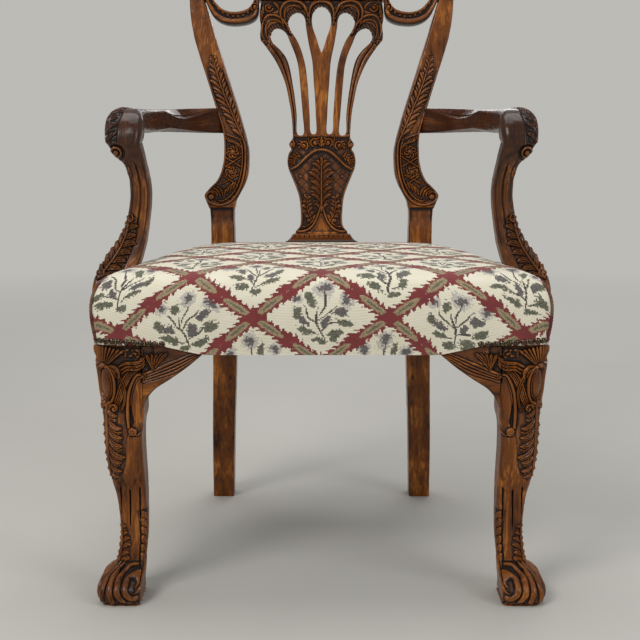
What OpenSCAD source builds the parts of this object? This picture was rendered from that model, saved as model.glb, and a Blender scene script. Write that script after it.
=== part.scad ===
// Carved open armchair with an upholstered seat.
// The chair faces -Y, stands on Z = 0 and is symmetric about X = 0.

/* [Overall] */
// Height from the floor to the top of the crest
chair_h = 985; // [940:1:1040]
// Depth from the toes to the back of the crest
chair_d = 572; // [510:1:650]
// Width between the outer faces of the two knees
front_w = 660; // [560:1:760]
// Width between the outer faces of the rear legs at the seat
back_w = 384; // [340:1:440]
// Lean of the back, in degrees
rake = 8; // [4:0.5:12]
// How far the toes stand out in front of the knees
toe_out = 12; // [4:1:20]

/* [Seat frame] */
// Height of the knee tops, where the fabric starts
knee_h = 377; // [340:1:420]
// Height of the rails' lower edge
rail_z = 365; // [330:1:405]
// Height of a rail
rail_h = 67; // [50:1:85]
// Thickness of a rail
rail_t = 24; // [18:1:30]
// Set-back of the rails behind the knee faces
rail_set = 22; // [16:1:28]
// Side of the square post on top of a front leg
post_sq = 54; // [44:1:60]
// Length of a rail tenon
tenon_l = 28; // [16:1:34]
// Thickness of a rail tenon
tenon_t = 10; // [6:1:12]
// Diameter of the pegs through the tenons
peg_d = 7; // [5:0.5:9]

/* [Front legs] */
// Width of the cabriole leg where the brackets meet it
knee_w = 78; // [68:1:92]
// Reach of a front bracket along the rail
bracket_reach = 84; // [50:1:110]
// Drop of a bracket below the rail
bracket_drop = 78; // [50:1:100]
// Thickness of a bracket
bracket_t = 24; // [18:1:28]

/* [Back] */
// Width of a rear leg at the seat
stile_w = 43; // [36:1:50]
// Depth of a rear leg at the seat
stile_d = 42; // [36:1:48]
// Depth of the stile where it meets the crest
stile_top_d = 26; // [22:1:32]
// Height at which the crest starts
crest_z = 884; // [840:1:920]
// Thickness of the splat
splat_t = 11; // [8:0.5:14]
// Height of the top of the shoe under the splat
shoe_z = 485; // [478:1:500]
// Half of the width of the shoe at its base
shoe_half = 64; // [56:1:76]

/* [Arms] */
// Height of the top of the arms
arm_z = 704; // [660:1:740]
// Height of the joint between an arm and its support
elbow_z = 655; // [610:1:680]
// Place of the arm supports behind the toes
support_set = 120; // [90:1:180]
// Diameter of the dowel between an arm and its support
dowel_d = 14; // [10:1:18]

/* [Upholstery] */
// Height of the crown of the seat
seat_h = 484; // [470:1:505]
// Thickness of the seat fabric
fabric_t = 2.4; // [1.5:0.1:4]
// Width of a webbing strap
web_w = 50; // [40:1:60]
// Thickness of a webbing strap
web_t = 1.8; // [1.2:0.1:2.6]
// Diameter of a decorative nail head
nail_d = 9; // [6:0.5:12]
// Spacing of the decorative nails
nail_pitch = 9.8; // [7:0.1:16]

/* [Fits] */
// Clearance around a tenon in its mortise
joint_gap = 0.2; // [0.1:0.05:0.5]
// Clearance between the upholstery and the wood
soft_gap = 0.4; // [0.2:0.1:1]
// Diameter of a wood screw's shank
screw_d = 4.5; // [3.5:0.5:6]
// Diameter of a wood screw's head
screw_head_d = 9; // [7:0.5:11]

/* [Hidden] */
$fn = 40;

walnut = "#6B3E1F";
dark_walnut = "#4A2A16";
beech = "#C9A878";
linen = "#B9A27A";
cream = "#DDD3B4";
iron = "#3A332C";

front_y = -chair_d / 2 + toe_out;    // plane of the knees
half_w = front_w / 2;
half_b = back_w / 2;
rail_top = rail_z + rail_h;
rail_x = half_w - rail_set;          // outer face of the posts
rail_y = front_y + rail_set;         // front face of the front rail
post_back = rail_y + post_sq;
post_in = rail_x - post_sq;
leg_in = half_w - knee_w;            // inner face of the knee block
leg_back = front_y + knee_w;
stile_bend = 460;                    // height at which the back starts to lean
// Front of the rear legs at the seat, so that the crest ends at the chair's depth
stile_y = chair_d / 2 - (chair_h - stile_bend) * tan(rake) - stile_top_d * cos(rake);
rear_foot_y = 52;                    // how far a rear foot stands behind the seat line
side_in_back = half_b - 6;           // outer face of a side rail at the rear leg
side_run = stile_y - post_back;
side_angle = atan((rail_x - side_in_back) / side_run);
side_tw = rail_t / cos(side_angle);  // thickness of a side rail across X
rear_rail_y = stile_y + 4;           // front face of the rear rail
rear_post_in = half_b - stile_w;
support_y = front_y + support_set;   // middle of an arm support's foot
splat_set = 8;                       // how far the splat lies behind the stile fronts
stile_tenon_h = 22;
peg_gap = 0.1;
screw_gap = 0.1;
corner_steps = 3;

// ---------------------------------------------------------------- helpers

// A smooth curve through a table of [position, value] rows
function span_of(t, z, i = 0) =
    (i >= len(t) - 2 || z < t[i + 1][0]) ? i : span_of(t, z, i + 1);
function slope_at(t, i) =
    let (a = max(i - 1, 0), b = min(i + 1, len(t) - 1))
    (t[b][1] - t[a][1]) / (t[b][0] - t[a][0]);
function curve(t, z) =
    let (i = span_of(t, z), h = t[i + 1][0] - t[i][0], u = (z - t[i][0]) / h,
         p = t[i][1], q = t[i + 1][1], m = slope_at(t, i) * h, n = slope_at(t, i + 1) * h,
         u2 = u * u, u3 = u2 * u)
    (2 * u3 - 3 * u2 + 1) * p + (u3 - 2 * u2 + u) * m + (3 * u2 - 2 * u3) * q + (u3 - u2) * n;

// A ring of points round a rectangle with rounded corners
function corner(cx, cy, r, from) =
    [for (k = [0 : corner_steps]) let (a = from + 90 * k / corner_steps)
        [cx + r * cos(a), cy + r * sin(a)]];
function rect_ring(x0, x1, y0, y1, r) = concat(
    corner(x1 - r, y1 - r, r, 0), corner(x0 + r, y1 - r, r, 90),
    corner(x0 + r, y0 + r, r, 180), corner(x1 - r, y0 + r, r, 270));
function lift(ring, z) = [for (p = ring) [p[0], p[1], z]];

// A closed skin over a stack of rings that all have the same number of points
module skin(rings) {
    n = len(rings[0]);
    m = len(rings);
    polyhedron(
        points = [for (r = rings) for (p = r) p],
        faces = concat(
            [[for (i = [0 : n - 1]) i]],
            [[for (i = [n - 1 : -1 : 0]) (m - 1) * n + i]],
            [for (k = [0 : m - 2]) for (i = [0 : n - 1]) let (j = (i + 1) % n)
                each [[k * n + i, (k + 1) * n + i, (k + 1) * n + j],
                      [k * n + i, (k + 1) * n + j, k * n + j]]]));
}

module both_sides() {
    children();
    mirror([1, 0, 0]) children();
}
module on_side(right) {
    if (right) mirror([1, 0, 0]) children();
    else children();
}

// Places a flat drawing, in x and height, on the leaning plane of the back.
// The drawing's front lies set behind the stile fronts and its body is deep.
module on_back(set, deep) {
    translate([0, stile_y, stile_bend]) rotate([90 - rake, 0, 0])
        translate([0, 0, -set - deep]) linear_extrude(deep)
            translate([0, -stile_bend / cos(rake)]) children();
}
function up_back(z) = z / cos(rake);
function lean_y(z) = stile_y + max(0, z - stile_bend) * tan(rake);
function face(points) = [for (p = points) [p[0], up_back(p[1])]];
function flip(points) = [for (i = [len(points) - 1 : -1 : 0]) [-points[i][0], points[i][1]]];

// ------------------------------------------------------------- front legs

// Outer and inner edges of a front leg, in from the knee's square envelope
leg_outer = [[0, 13], [6, 9], [16, 7], [28, 9], [38, 16], [46, 27], [56, 32], [72, 35],
             [92, 37], [120, 36], [150, 33], [195, 23], [240, 18], [298, 13], [341, 9], [377, 6]];
leg_inner = [[0, 70], [14, 69], [40, 71], [60, 72], [90, 75], [150, 76], [195, 75], [232, 74],
             [258, 75], [276, 78], [377, 78]];
// The toe scroll rolls out further to the front than to the side
toe_roll = [[0, -18], [6, -21], [16, -19], [28, -15], [38, -9], [48, -3], [60, 0], [377, 0]];
leg_levels = [0, 3, 8, 16, 24, 32, 38, 44, 52, 62, 75, 92, 110, 130, 150, 172, 195, 220,
              245, 262, 276, 298, 320, 341, 360, 377];
// The ankle keeps its size when the leg is made longer
function leg_z(z) = z * knee_h / 377;
function leg_ring(z) =
    let (o = curve(leg_outer, z), i = min(knee_w, curve(leg_inner, z) + (knee_w - 78)),
         f = max(-toe_out, o + curve(toe_roll, z) * toe_out / 12),
         r = z < 60 ? 9 : z < 200 ? 7 : 10)
    lift(rect_ring(-half_w + o, -half_w + i, front_y + f, front_y + i, r), leg_z(z));

module front_leg() {
    color(walnut) difference() {
        union() {
            skin([for (z = leg_levels) leg_ring(z)]);
            translate([-rail_x, rail_y, knee_h - 12])
                cube([post_sq, post_sq, rail_top - knee_h + 12]);
        }
        front_rail_body();
        side_rail_body();
        front_tenon(joint_gap);
        side_front_tenon(joint_gap);
        front_pegs(peg_gap);
    }
}

// -------------------------------------------------------------- seat rails

tenon_z0 = rail_z + 12;
tenon_h = rail_h - 24;
// The rear tenons are flush with the rail's back, clear of the side tenons
rear_tenon_y = rear_rail_y + rail_t - tenon_t;
side_tenon_l = min(tenon_l - 10, rear_tenon_y - stile_y - 2.6);

module front_rail_body() {
    translate([-post_in, rail_y, rail_z]) cube([2 * post_in, rail_t, rail_h]);
}
// Tenon of the front rail in the left post
module front_tenon(gap) {
    translate([-post_in - tenon_l - gap, rail_y + 6 - gap, tenon_z0 - gap])
        cube([tenon_l + 2 * gap, tenon_t + 2 * gap, tenon_h + 2 * gap]);
}
module front_rail() {
    color(beech) difference() {
        union() {
            front_rail_body();
            both_sides() front_tenon(0);
        }
        both_sides() front_pegs(peg_gap);
    }
}

module rear_rail_body() {
    translate([-rear_post_in, rear_rail_y, rail_z]) cube([2 * rear_post_in, rail_t, rail_h]);
}
module rear_tenon(gap) {
    translate([-rear_post_in - tenon_l - gap, rear_tenon_y - gap, tenon_z0 - gap])
        cube([tenon_l + 2 * gap, tenon_t + 2 * gap, tenon_h + 2 * gap]);
}
module rear_rail() {
    color(beech) difference() {
        union() {
            rear_rail_body();
            both_sides() rear_tenon(0);
        }
        both_sides() rear_pegs(peg_gap);
    }
}

// Outer x of the left side rail at a depth, and its inner x
function side_out(y) = -(rail_x - (y - post_back) * tan(side_angle));
function side_in(y) = side_out(y) + side_tw;

module side_rail_body() {
    translate([0, 0, rail_z]) linear_extrude(rail_h)
        polygon([[side_out(post_back), post_back], [side_in(post_back), post_back],
                 [side_in(stile_y), stile_y], [side_out(stile_y), stile_y]]);
}
// The side tenons run straight on from the rail, so they lie at its angle
module side_tenon(y, way, gap, length) {
    x = (side_out(y) + side_in(y)) / 2;
    translate([x, y, tenon_z0 - gap]) rotate([0, 0, -side_angle])
        translate([-tenon_t / 2 - gap, way > 0 ? -gap - 4 : -length - gap, 0])
            cube([tenon_t + 2 * gap, length + 4 + 2 * gap, tenon_h + 2 * gap]);
}
module side_front_tenon(gap) {
    side_tenon(post_back, -1, gap, side_tenon_l);
}
module side_rear_tenon(gap) {
    side_tenon(stile_y, 1, gap, side_tenon_l);
}
module side_rail() {
    color(beech) difference() {
        union() {
            side_rail_body();
            side_front_tenon(0);
            side_rear_tenon(0);
        }
        support_screw_shanks(screw_gap);
    }
}

// Pegs that lock the front and rear rails in the left leg
peg_zs = [rail_z + rail_h / 2 - 12, rail_z + rail_h / 2 + 12];
module peg(x, y, z, length, gap) {
    translate([x, y, z]) rotate([-90, 0, 0]) cylinder(d = peg_d + 2 * gap, h = length);
}
module front_pegs(gap) {
    for (z = peg_zs) peg(-post_in - tenon_l / 2, rail_y, z, rail_t + 4, gap);
}
module rear_pegs(gap) {
    y = rear_tenon_y - 0.5;
    for (z = peg_zs) peg(-rear_post_in - tenon_l / 2, y, z, stile_y + stile_d - 0.3 - y, gap);
}
module rail_pegs() {
    color(walnut) both_sides() {
        front_pegs(0);
        rear_pegs(0);
    }
}

// ---------------------------------------------------------- knee brackets

// Under edge of a bracket: level with the leg at first, then out along the rail
bracket_edge = [[0, 1], [0.03, 0.88], [0.08, 0.76], [0.2, 0.59], [0.46, 0.41], [0.73, 0.23],
                [1, 0.03]];
module bracket_shape(reach) {
    lip = knee_h - rail_z;
    polygon(concat(
        [for (u = [0, 0.025, 0.05, 0.1, 0.15, 0.22, 0.3, 0.4, 0.5, 0.6, 0.7, 0.8, 0.9, 1])
            [u * reach, -curve(bracket_edge, u) * bracket_drop]],
        [[reach, 1], [reach * 0.34, lip], [0, lip]]));
}
// Left front bracket, against the inner face of the knee block
module front_bracket() {
    color(walnut) difference() {
        translate([-leg_in, rail_y - 10 + bracket_t, rail_z]) rotate([90, 0, 0])
            linear_extrude(bracket_t) bracket_shape(bracket_reach);
        front_rail_body();
    }
}
// Left side bracket, against the back of the knee block and along the side rail
module side_bracket() {
    color(walnut) difference() {
        translate([side_out(leg_back), leg_back, rail_z])
            rotate([0, 0, 90 - side_angle]) rotate([90, 0, 0])
                translate([-14, 0, -bracket_t + 10]) linear_extrude(bracket_t)
                    union() {
                        translate([14, 0]) bracket_shape(bracket_reach);
                        translate([0, -bracket_drop])
                            square([14.01, bracket_drop + knee_h - rail_z]);
                    }
        side_rail_body();
        translate([-half_w - 20, leg_back - 60, rail_z - 2 * bracket_drop])
            cube([2 * knee_w, 60, 4 * bracket_drop]);
    }
}

// ----------------------------------------------------------- corner blocks

block_h = 42;
block_z = rail_z + 12;
block_reach = 62;
// The screws of an arm support pass behind the front block
support_screw_y = support_y + 20;
front_block_end = min(post_back + block_reach, support_screw_y - 8);
module front_block_shape() {
    polygon([[-post_in, rail_y + rail_t], [-post_in + block_reach, rail_y + rail_t],
             [side_in(front_block_end), front_block_end],
             [side_in(post_back), post_back], [-post_in, post_back]]);
}
module rear_block_shape() {
    polygon([[side_in(stile_y), stile_y], [side_in(stile_y - block_reach), stile_y - block_reach],
             [-rear_post_in + block_reach, rear_rail_y], [-rear_post_in, rear_rail_y],
             [-rear_post_in, stile_y]]);
}
module corner_block_front() {
    color(beech) difference() {
        translate([0, 0, block_z]) linear_extrude(block_h) front_block_shape();
        front_block_screws(screw_gap);
    }
}
module corner_block_rear() {
    color(beech) difference() {
        translate([0, 0, block_z]) linear_extrude(block_h) rear_block_shape();
        rear_block_screws(screw_gap);
    }
}
// A countersunk wood screw along +Y, its head at the origin
module wood_screw(length, gap = 0) {
    rotate([-90, 0, 0]) {
        cylinder(d = screw_d + 2 * gap, h = length);
        cylinder(d = screw_head_d + 2 * gap, h = 3);
    }
}
screw_z = block_z + block_h / 2;
// Each block has a screw towards the front or rear rail, from a counterbore
module front_block_screws(gap) {
    for (dx = [16, 34]) translate([-post_in + dx, rail_y + rail_t + 16, screw_z])
        rotate([0, 0, 180]) wood_screw(16, gap);
    if (gap > 0) for (dx = [16, 34])
        translate([-post_in + dx, rail_y + rail_t + 16, screw_z])
            rotate([-90, 0, 0]) cylinder(d = screw_head_d + 2 * gap, h = block_reach);
}
module rear_block_screws(gap) {
    for (dx = [16, 34]) translate([-rear_post_in + dx, rear_rail_y - 16, screw_z])
        wood_screw(16, gap);
    if (gap > 0) for (dx = [16, 34])
        translate([-rear_post_in + dx, rear_rail_y - 16 - block_reach, screw_z])
            rotate([-90, 0, 0]) cylinder(d = screw_head_d + 2 * gap, h = block_reach);
}
module block_screws() {
    color(iron) both_sides() {
        front_block_screws(0);
        rear_block_screws(0);
    }
}

// ------------------------------------------------- rear legs with the stiles

// Outer and inner edges of the left stile: [height, distance from the middle]
stile_outer = [[0, 197], [120, 195], [268, 191], [400, 192], [473, 192], [527, 194],
               [541, 199], [551, 202], [561, 195], [578, 179], [604, 170], [630, 168],
               [658, 170], [701, 183], [748, 198], [782, 209], [816, 219], [850, 225],
               [884, 227]];
stile_inner = [[0, 160], [120, 156], [268, 150], [400, 149], [473, 149], [536, 149],
               [553, 141], [570, 132], [587, 127], [604, 125.5], [621, 125.5], [638, 128],
               [663, 134.5], [689, 142], [714, 150], [748, 161], [782, 172], [816, 183],
               [841, 190], [862, 196], [884, 203]];
stile_levels = [0, 60, 120, 190, 268, 330, 400, 473, 512, 527, 536, 544, 551, 558, 566, 578,
                590, 604, 621, 638, 658, 680, 701, 725, 748, 770, 795, 816, 841, 862, 884];
// Heights above the seat stretch with the height of the crest
function stile_z(z) = z <= 473 ? z : 473 + (z - 473) * (crest_z + 6 - 473) / (884 - 473);
function stile_front(z) =
    z > stile_bend ? lean_y(z)
                   : stile_y + rear_foot_y * pow(max(0, 365 - z) / 365, 1.5);
function stile_deep(z) =
    curve([[0, 39], [200, 41], [400, stile_d], [473, stile_d], [620, 36], [760, 30],
           [895, stile_top_d], [1100, stile_top_d]], z);
function stile_ring(z) =
    let (h = stile_z(z), o = curve(stile_outer, z) + half_b - 192,
         i = curve(stile_inner, z) + half_b - 192 + 43 - stile_w, y = stile_front(h))
    lift(rect_ring(-o, -i, y, y + stile_deep(h), 3.5), h);

// The end of an arm is let into the stile on this sloping plane
arm_seat_x = 175;
arm_seat_tilt = 17;
module rear_leg() {
    color(walnut) difference() {
        union() {
            difference() {
                skin([for (z = stile_levels) stile_ring(z)]);
                on_back(-60, 160) translate([-half_w, up_back(crest_z)]) square([half_w, 60]);
            }
            stile_tenon(0);
        }
        side_rear_tenon(joint_gap);
        rear_tenon(joint_gap);
        rear_pegs(peg_gap);
        rotate_arm_seat() translate([-60, -40, -23]) cube([60, 110, 46]);
        arm_screw(screw_gap);
    }
}
module rotate_arm_seat() {
    translate([-arm_seat_x - half_b + 192, lean_y(arm_z), arm_end_z])
        rotate([0, -arm_seat_tilt, 0]) children();
}
module stile_tenon(gap) {
    on_back(8 - gap, 10 + 2 * gap)
        translate([-half_b - 28 - gap, up_back(crest_z) - 1])
            square([14 + 2 * gap, stile_tenon_h + 1 + gap]);
}

// ------------------------------------------------------------ shoe and splat

shoe_deep = 24;
module splat_shoe() {
    rise = shoe_z - rail_top;
    y0 = rear_rail_y;
    color(walnut) difference() {
        intersection() {
            translate([0, y0, rail_top]) rotate([90, 0, 90])
                translate([0, 0, -shoe_half]) linear_extrude(2 * shoe_half)
                    polygon([[0, 0], [shoe_deep, 0], [shoe_deep, rise], [9, rise], [7, rise - 3],
                             [3, rise - 6], [0.5, rise - 10]]);
            translate([0, y0 - 1, rail_top]) rotate([90, 0, 0]) translate([0, 0, -shoe_deep - 2])
                linear_extrude(shoe_deep + 2)
                    polygon([[-shoe_half, 0], [shoe_half, 0], [shoe_half, rise - 13],
                             [shoe_half - 12, rise - 8], [shoe_half - 15, rise],
                             [-shoe_half + 15, rise], [-shoe_half + 12, rise - 8],
                             [-shoe_half, rise - 13]]);
        }
        splat_foot_tenon(joint_gap);
    }
}
module splat_foot_tenon(gap) {
    on_back(splat_set - gap, splat_t + 2 * gap)
        translate([-40 - gap, up_back(shoe_z) - 18 - gap]) square([80 + 2 * gap, 23 + gap]);
}
module splat_top_tenon(gap) {
    on_back(splat_set - gap, splat_t + 2 * gap)
        translate([-80 - gap, up_back(crest_z) - 1]) square([160 + 2 * gap, 15 + gap]);
}

// Outer edge of the splat: [distance from the middle, height]
splat_edge = [[46, 485], [44, 492], [38, 499], [36, 508], [36.4, 530], [39, 551], [45.5, 570],
              [52.5, 587], [57.5, 600], [59, 612], [56.5, 625], [52.5, 632], [56, 640],
              [50, 651], [48, 663], [49.5, 690], [53.5, 714], [61.8, 748], [77.6, 782],
              [100, 812], [105, 818], [106, 826], [105, 842], [107, 858], [104, 884]];
outer_slot = [[39.5, 656], [42.5, 660], [43, 690], [45.5, 714], [48.5, 735], [58.5, 782], [70, 800],
              [84.5, 814], [88, 824], [86, 833], [79, 838.5], [68, 836], [59, 826], [54.5, 815],
              [46, 795], [40.5, 775], [37.5, 748], [34.5, 714], [32.5, 690], [30.5, 660],
              [33, 656]];
inner_slot = [[16, 658], [19, 662], [20.5, 690], [22, 714], [24.5, 748], [29.5, 782],
              [40.5, 814], [55, 838], [57.5, 850], [53, 860], [42, 865.5], [33, 862],
              [28.5, 853], [27, 841], [22.5, 814], [16, 782], [13.6, 748], [11, 714],
              [10, 690], [9, 662], [11, 658]];
centre_slot = [[0, 796], [4, 806], [9, 822], [15.5, 841], [16.5, 856], [13, 868], [6, 874.5],
               [0, 876]];
// Heights of the back's drawing stretch between the shoe and the crest
function back_h(z) = shoe_z + (z - 485) * (crest_z - shoe_z) / (884 - 485);
function back_face(points) = face([for (p = points) [p[0], back_h(p[1])]]);

module splat() {
    color(walnut) {
        difference() {
            on_back(splat_set, splat_t) difference() {
                polygon(back_face(concat(splat_edge, flip(splat_edge))));
                for (slot = [outer_slot, flip(outer_slot), inner_slot, flip(inner_slot)])
                    polygon(back_face(slot));
                polygon(back_face(concat(centre_slot, flip([for (i = [1 : 6]) centre_slot[i]]))));
            }
            // the foot is cut level, to stand on the shoe
            translate([-shoe_half, stile_y, shoe_z - 20]) cube([2 * shoe_half, stile_d, 20]);
        }
        splat_foot_tenon(0);
        splat_top_tenon(0);
    }
}

// -------------------------------------------------------------------- crest

// Heights in the crest are above its joint with the stiles, of 101 in all
crest_low = [[108, 0], [108, -16], [112, -29], [124, -37], [148, -41], [166, -39], [179, -33],
             [188, -24], [194, -13], [200, 0]];
crest_top = [[227, 0], [233, 14], [243, 26], [247, 38], [244, 50], [234, 57], [222, 55],
             [208, 49], [190, 47], [170, 51], [140, 62], [110, 74], [84, 82], [60, 87],
             [40, 92], [20, 99], [0, 101]];
crest_eye = [[116, 4], [119, -6], [128, -15], [150, -20], [168, -16], [180, -6], [188, 6],
             [191, 18], [184, 27], [168, 30], [146, 34], [128, 31], [118, 20]];
crest_proud = 2;                     // how far the crest stands in front of the stiles
crest_rise = chair_h - crest_z - crest_proud * sin(rake);
function crest_face(points) =
    [for (p = points) [p[0] + sign(p[0]) * max(0, (abs(p[0]) - 104) / 96) * (half_b - 192),
        (crest_z + (p[1] > 0 ? p[1] * crest_rise / 101 : p[1])) / cos(rake)]];

module crest_rail() {
    half = concat([[0, 0]], crest_low, crest_top);
    color(walnut) difference() {
        on_back(-crest_proud, stile_top_d + crest_proud) difference() {
            polygon(crest_face(concat(half, flip([for (i = [1 : len(half) - 2]) half[i]]))));
            polygon(crest_face(crest_eye));
            polygon(crest_face(flip(crest_eye)));
        }
        both_sides() stile_tenon(joint_gap);
        splat_top_tenon(joint_gap);
    }
}

// --------------------------------------------------------------------- arms

// Stations along the left arm: [x, y, z, climb, heading, width, height]
arm_mid = arm_z - 19;
elbow_r = arm_mid - elbow_z;
elbow_y = support_y - 6 + elbow_r;
arm_run = lean_y(arm_mid) + 16 - elbow_y;
arm_fall = 6;                        // drop of the arm towards the back
arm_end_z = arm_mid - arm_fall;      // middle of the arm where it meets the stile
function elbow(e) = [-284 + 2 * cos(e), elbow_y - elbow_r * sin(e), elbow_z + elbow_r * cos(e),
                     e, 0, 48 + 8 * sin(2 * e) - 6 * cos(e), 44 - 7 * cos(e)];
function along(x, share, heading, w, h) =
    [x, elbow_y + arm_run * share, arm_mid - arm_fall * share, 0, heading, w, h];
arm_stations = concat(
    [for (e = [90 : -15 : 0]) elbow(e)],
    [along(-284, 0.13, -1, 40, 37), along(-285, 0.32, 1, 38, 36), along(-280, 0.51, 10, 38, 36),
     along(-266, 0.67, 22, 38, 36), along(-243, 0.82, 38, 36, 38), along(-212, 0.93, 54, 34, 41),
     along(-176, 1.02, 64, 33, 43), along(-150, 1.07, 64, 33, 43)]);
// An arm's elbow follows the width of the front, and its end follows the stile
function arm_shift(x) = let (u = min(1, max(0, (-x - 176) / 60)))
    u * (half_w - 330) + (1 - u) * (half_b - 192);
function arm_ring(s) =
    let (t = [sin(s[4]) * cos(s[3]), cos(s[4]) * cos(s[3]), sin(s[3])],
         side = [cos(s[4]), -sin(s[4]), 0], up = cross(side, t))
    [for (p = rect_ring(-s[5] / 2, s[5] / 2, -s[6] / 2, s[6] / 2, 9))
        [s[0] - arm_shift(s[0]), s[1], s[2]] + side * p[0] + up * p[1]];

module arm() {
    color(dark_walnut) difference() {
        skin([for (s = arm_stations) arm_ring(s)]);
        rotate_arm_seat() translate([0, -60, -60]) cube([90, 150, 120]);
        dowel(joint_gap);
        arm_screw(screw_gap / 2);
    }
}
// Round tenon from the support into the underside of the elbow
module dowel(gap) {
    translate([-282 + 330 - half_w, support_y - 6, elbow_z - 1])
        cylinder(d = dowel_d + 2 * gap, h = 17 + gap);
}

// ------------------------------------------------------------- arm supports

support_out = [[372, 324], [400, 331], [440, 333], [462, 330], [480, 322], [497, 311], [513, 299],
               [530, 289], [551, 283], [581, 279], [622, 283], [640, 298], [655, 307]];
support_in = [[372, 294], [420, 294], [436, 286], [452, 277], [467, 271], [490, 263], [513, 257],
              [566, 250], [596, 250], [634, 256], [655, 260]];
support_mid = [[372, 0], [440, 0], [467, 3], [513, 10], [566, 16], [596, 14], [634, 2], [655, -6]];
support_deep = [[372, 66], [400, 72], [440, 72], [467, 56], [513, 38], [566, 33], [596, 33],
                [634, 38], [655, 44]];
support_levels = [372, 386, 404, 420, 430, 440, 450, 460, 474, 490, 506, 526, 546, 566, 590, 612,
                  626, 636, 645, 655];
support_base = knee_h + 3;            // clear of the side bracket
function support_h(z) =
    z < 440 ? support_base + (z - 372) * (rail_top + 8 - support_base) / 68
            : rail_top + 8 + (z - 440) * (elbow_z - rail_top - 8) / 215;
// The foot follows the side rail, so it moves with the rail's outer face
pad_x = -side_out(support_y) - 294;
function support_shift(z) = let (u = min(1, max(0, (z - 440) / 120)))
    (1 - u) * pad_x + u * (half_w - 330);
function support_ring(z) =
    let (m = support_y + curve(support_mid, z), d = curve(support_deep, z) / 2,
         s = support_shift(z))
    lift(rect_ring(-curve(support_out, z) - s, -curve(support_in, z) - s, m - d, m + d, 7),
         support_h(z));
module arm_support() {
    color(walnut) difference() {
        union() {
            skin([for (z = support_levels) support_ring(z)]);
            dowel(0);
        }
        support_flat();
        support_screw_shanks(screw_gap / 2);
    }
}
// The foot of the support is cut to lie flat on the side rail
module support_flat() {
    translate([0, 0, rail_z - 10]) linear_extrude(rail_h + 10)
        polygon([[side_out(support_y - 80), support_y - 80],
                 [side_out(support_y - 80) + 90, support_y - 80],
                 [side_out(support_y + 90) + 90, support_y + 90],
                 [side_out(support_y + 90), support_y + 90]]);
}
module support_screw_shanks(gap) {
    for (dz = [20, 48]) translate([side_in(support_screw_y), support_screw_y, rail_z + dz])
        rotate([0, 0, 90 - side_angle]) wood_screw(rail_t + 18, gap);
}
module support_screws() {
    color(iron) both_sides() support_screw_shanks(0);
}

// The arm is screwed to the stile from its inner side, under a plug
module arm_screw(gap) {
    arm_screw_place() rotate([0, 0, 90]) {
        wood_screw(46, gap);
        if (gap > 0) translate([0, -12, 0]) rotate([-90, 0, 0])
            cylinder(d = screw_head_d + 2 * gap, h = 12.1);
    }
}
module arm_screw_place() {
    translate([-stile_inside(arm_end_z) - 5, lean_y(arm_end_z) + 16, arm_end_z]) children();
}
function stile_inside(z) = curve(stile_inner, z) + half_b - 192 + 43 - stile_w;
module arm_screws() {
    color(iron) both_sides() arm_screw(0);
}
module arm_screw_plugs() {
    color(walnut) both_sides()
        arm_screw_place() rotate([0, 90, 0]) cylinder(d = screw_head_d, h = 4);
}

// --------------------------------------------------------------- upholstery

// How far the seat's skin lies inside its widest outline: [height, inset]
seat_levels = [[rail_z - 1, 8], [380, 5], [402, 1.5], [427, 0], [445, 1.5], [459, 6],
               [470, 13], [477, 22], [481, 42], [483.3, 90], [484, 130]];
// The crown falls away towards the back, down to the shoe
seat_fall = 14;
seat_front_y = front_y;
seat_back_y = stile_y + 44;
seat_half_back = half_b + 8;
// The side of the seat passes just outside the posts on the front legs
post_cover = 4.1;
seat_slope = (rail_x + post_cover - seat_half_back) / (seat_back_y - post_back);
seat_half_front = rail_x + post_cover + seat_slope * (post_back - seat_front_y);
function seat_half(y) =
    seat_half_front + (seat_half_back - seat_half_front)
        * (y - seat_front_y) / (seat_back_y - seat_front_y);
function seat_rise(z) = z < 402 ? z : 402 + (z - 402) * (seat_h - 402) / 82;
function seat_drop(y, z) = let (mid = (seat_front_y + seat_back_y) / 2)
    seat_fall * pow(max(0, (y - mid) / (seat_back_y - mid)), 2)
        * min(1, max(0, (z - 440) / 36));
function crowned(ring, z) =
    [for (p = ring) [p[0], p[1], seat_rise(z) - seat_drop(p[1], z)]];
// A trapezium with rounded corners, made by narrowing a rectangle towards the back
function seat_outline(inset, r, steps) =
    let (w = seat_half_front, x = w - inset, y0 = seat_front_y + inset,
         y1 = seat_back_y - inset,
         c = [[x - r, y1 - r, 0], [-x + r, y1 - r, 90], [-x + r, y0 + r, 180], [x - r, y0 + r, 270]])
    [for (q = c) for (k = [0 : steps]) let (a = q[2] + 90 * k / steps,
        px = q[0] + r * cos(a), py = q[1] + r * sin(a),
        s = (seat_half(py) - inset) / (w - inset)) [px * s, py]];
module seat_form(inset, low) {
    skin(concat(
        [lift(seat_outline(seat_levels[0][1] + inset, seat_r, 5), low)],
        [for (s = seat_levels) let (sink = inset * min(1, max(0, (s[0] - 427) / 30)))
            [for (p = crowned(seat_outline(s[1] + inset, seat_r, 5), s[0]))
                [p[0], p[1], p[2] - sink]]]));
}
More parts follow.
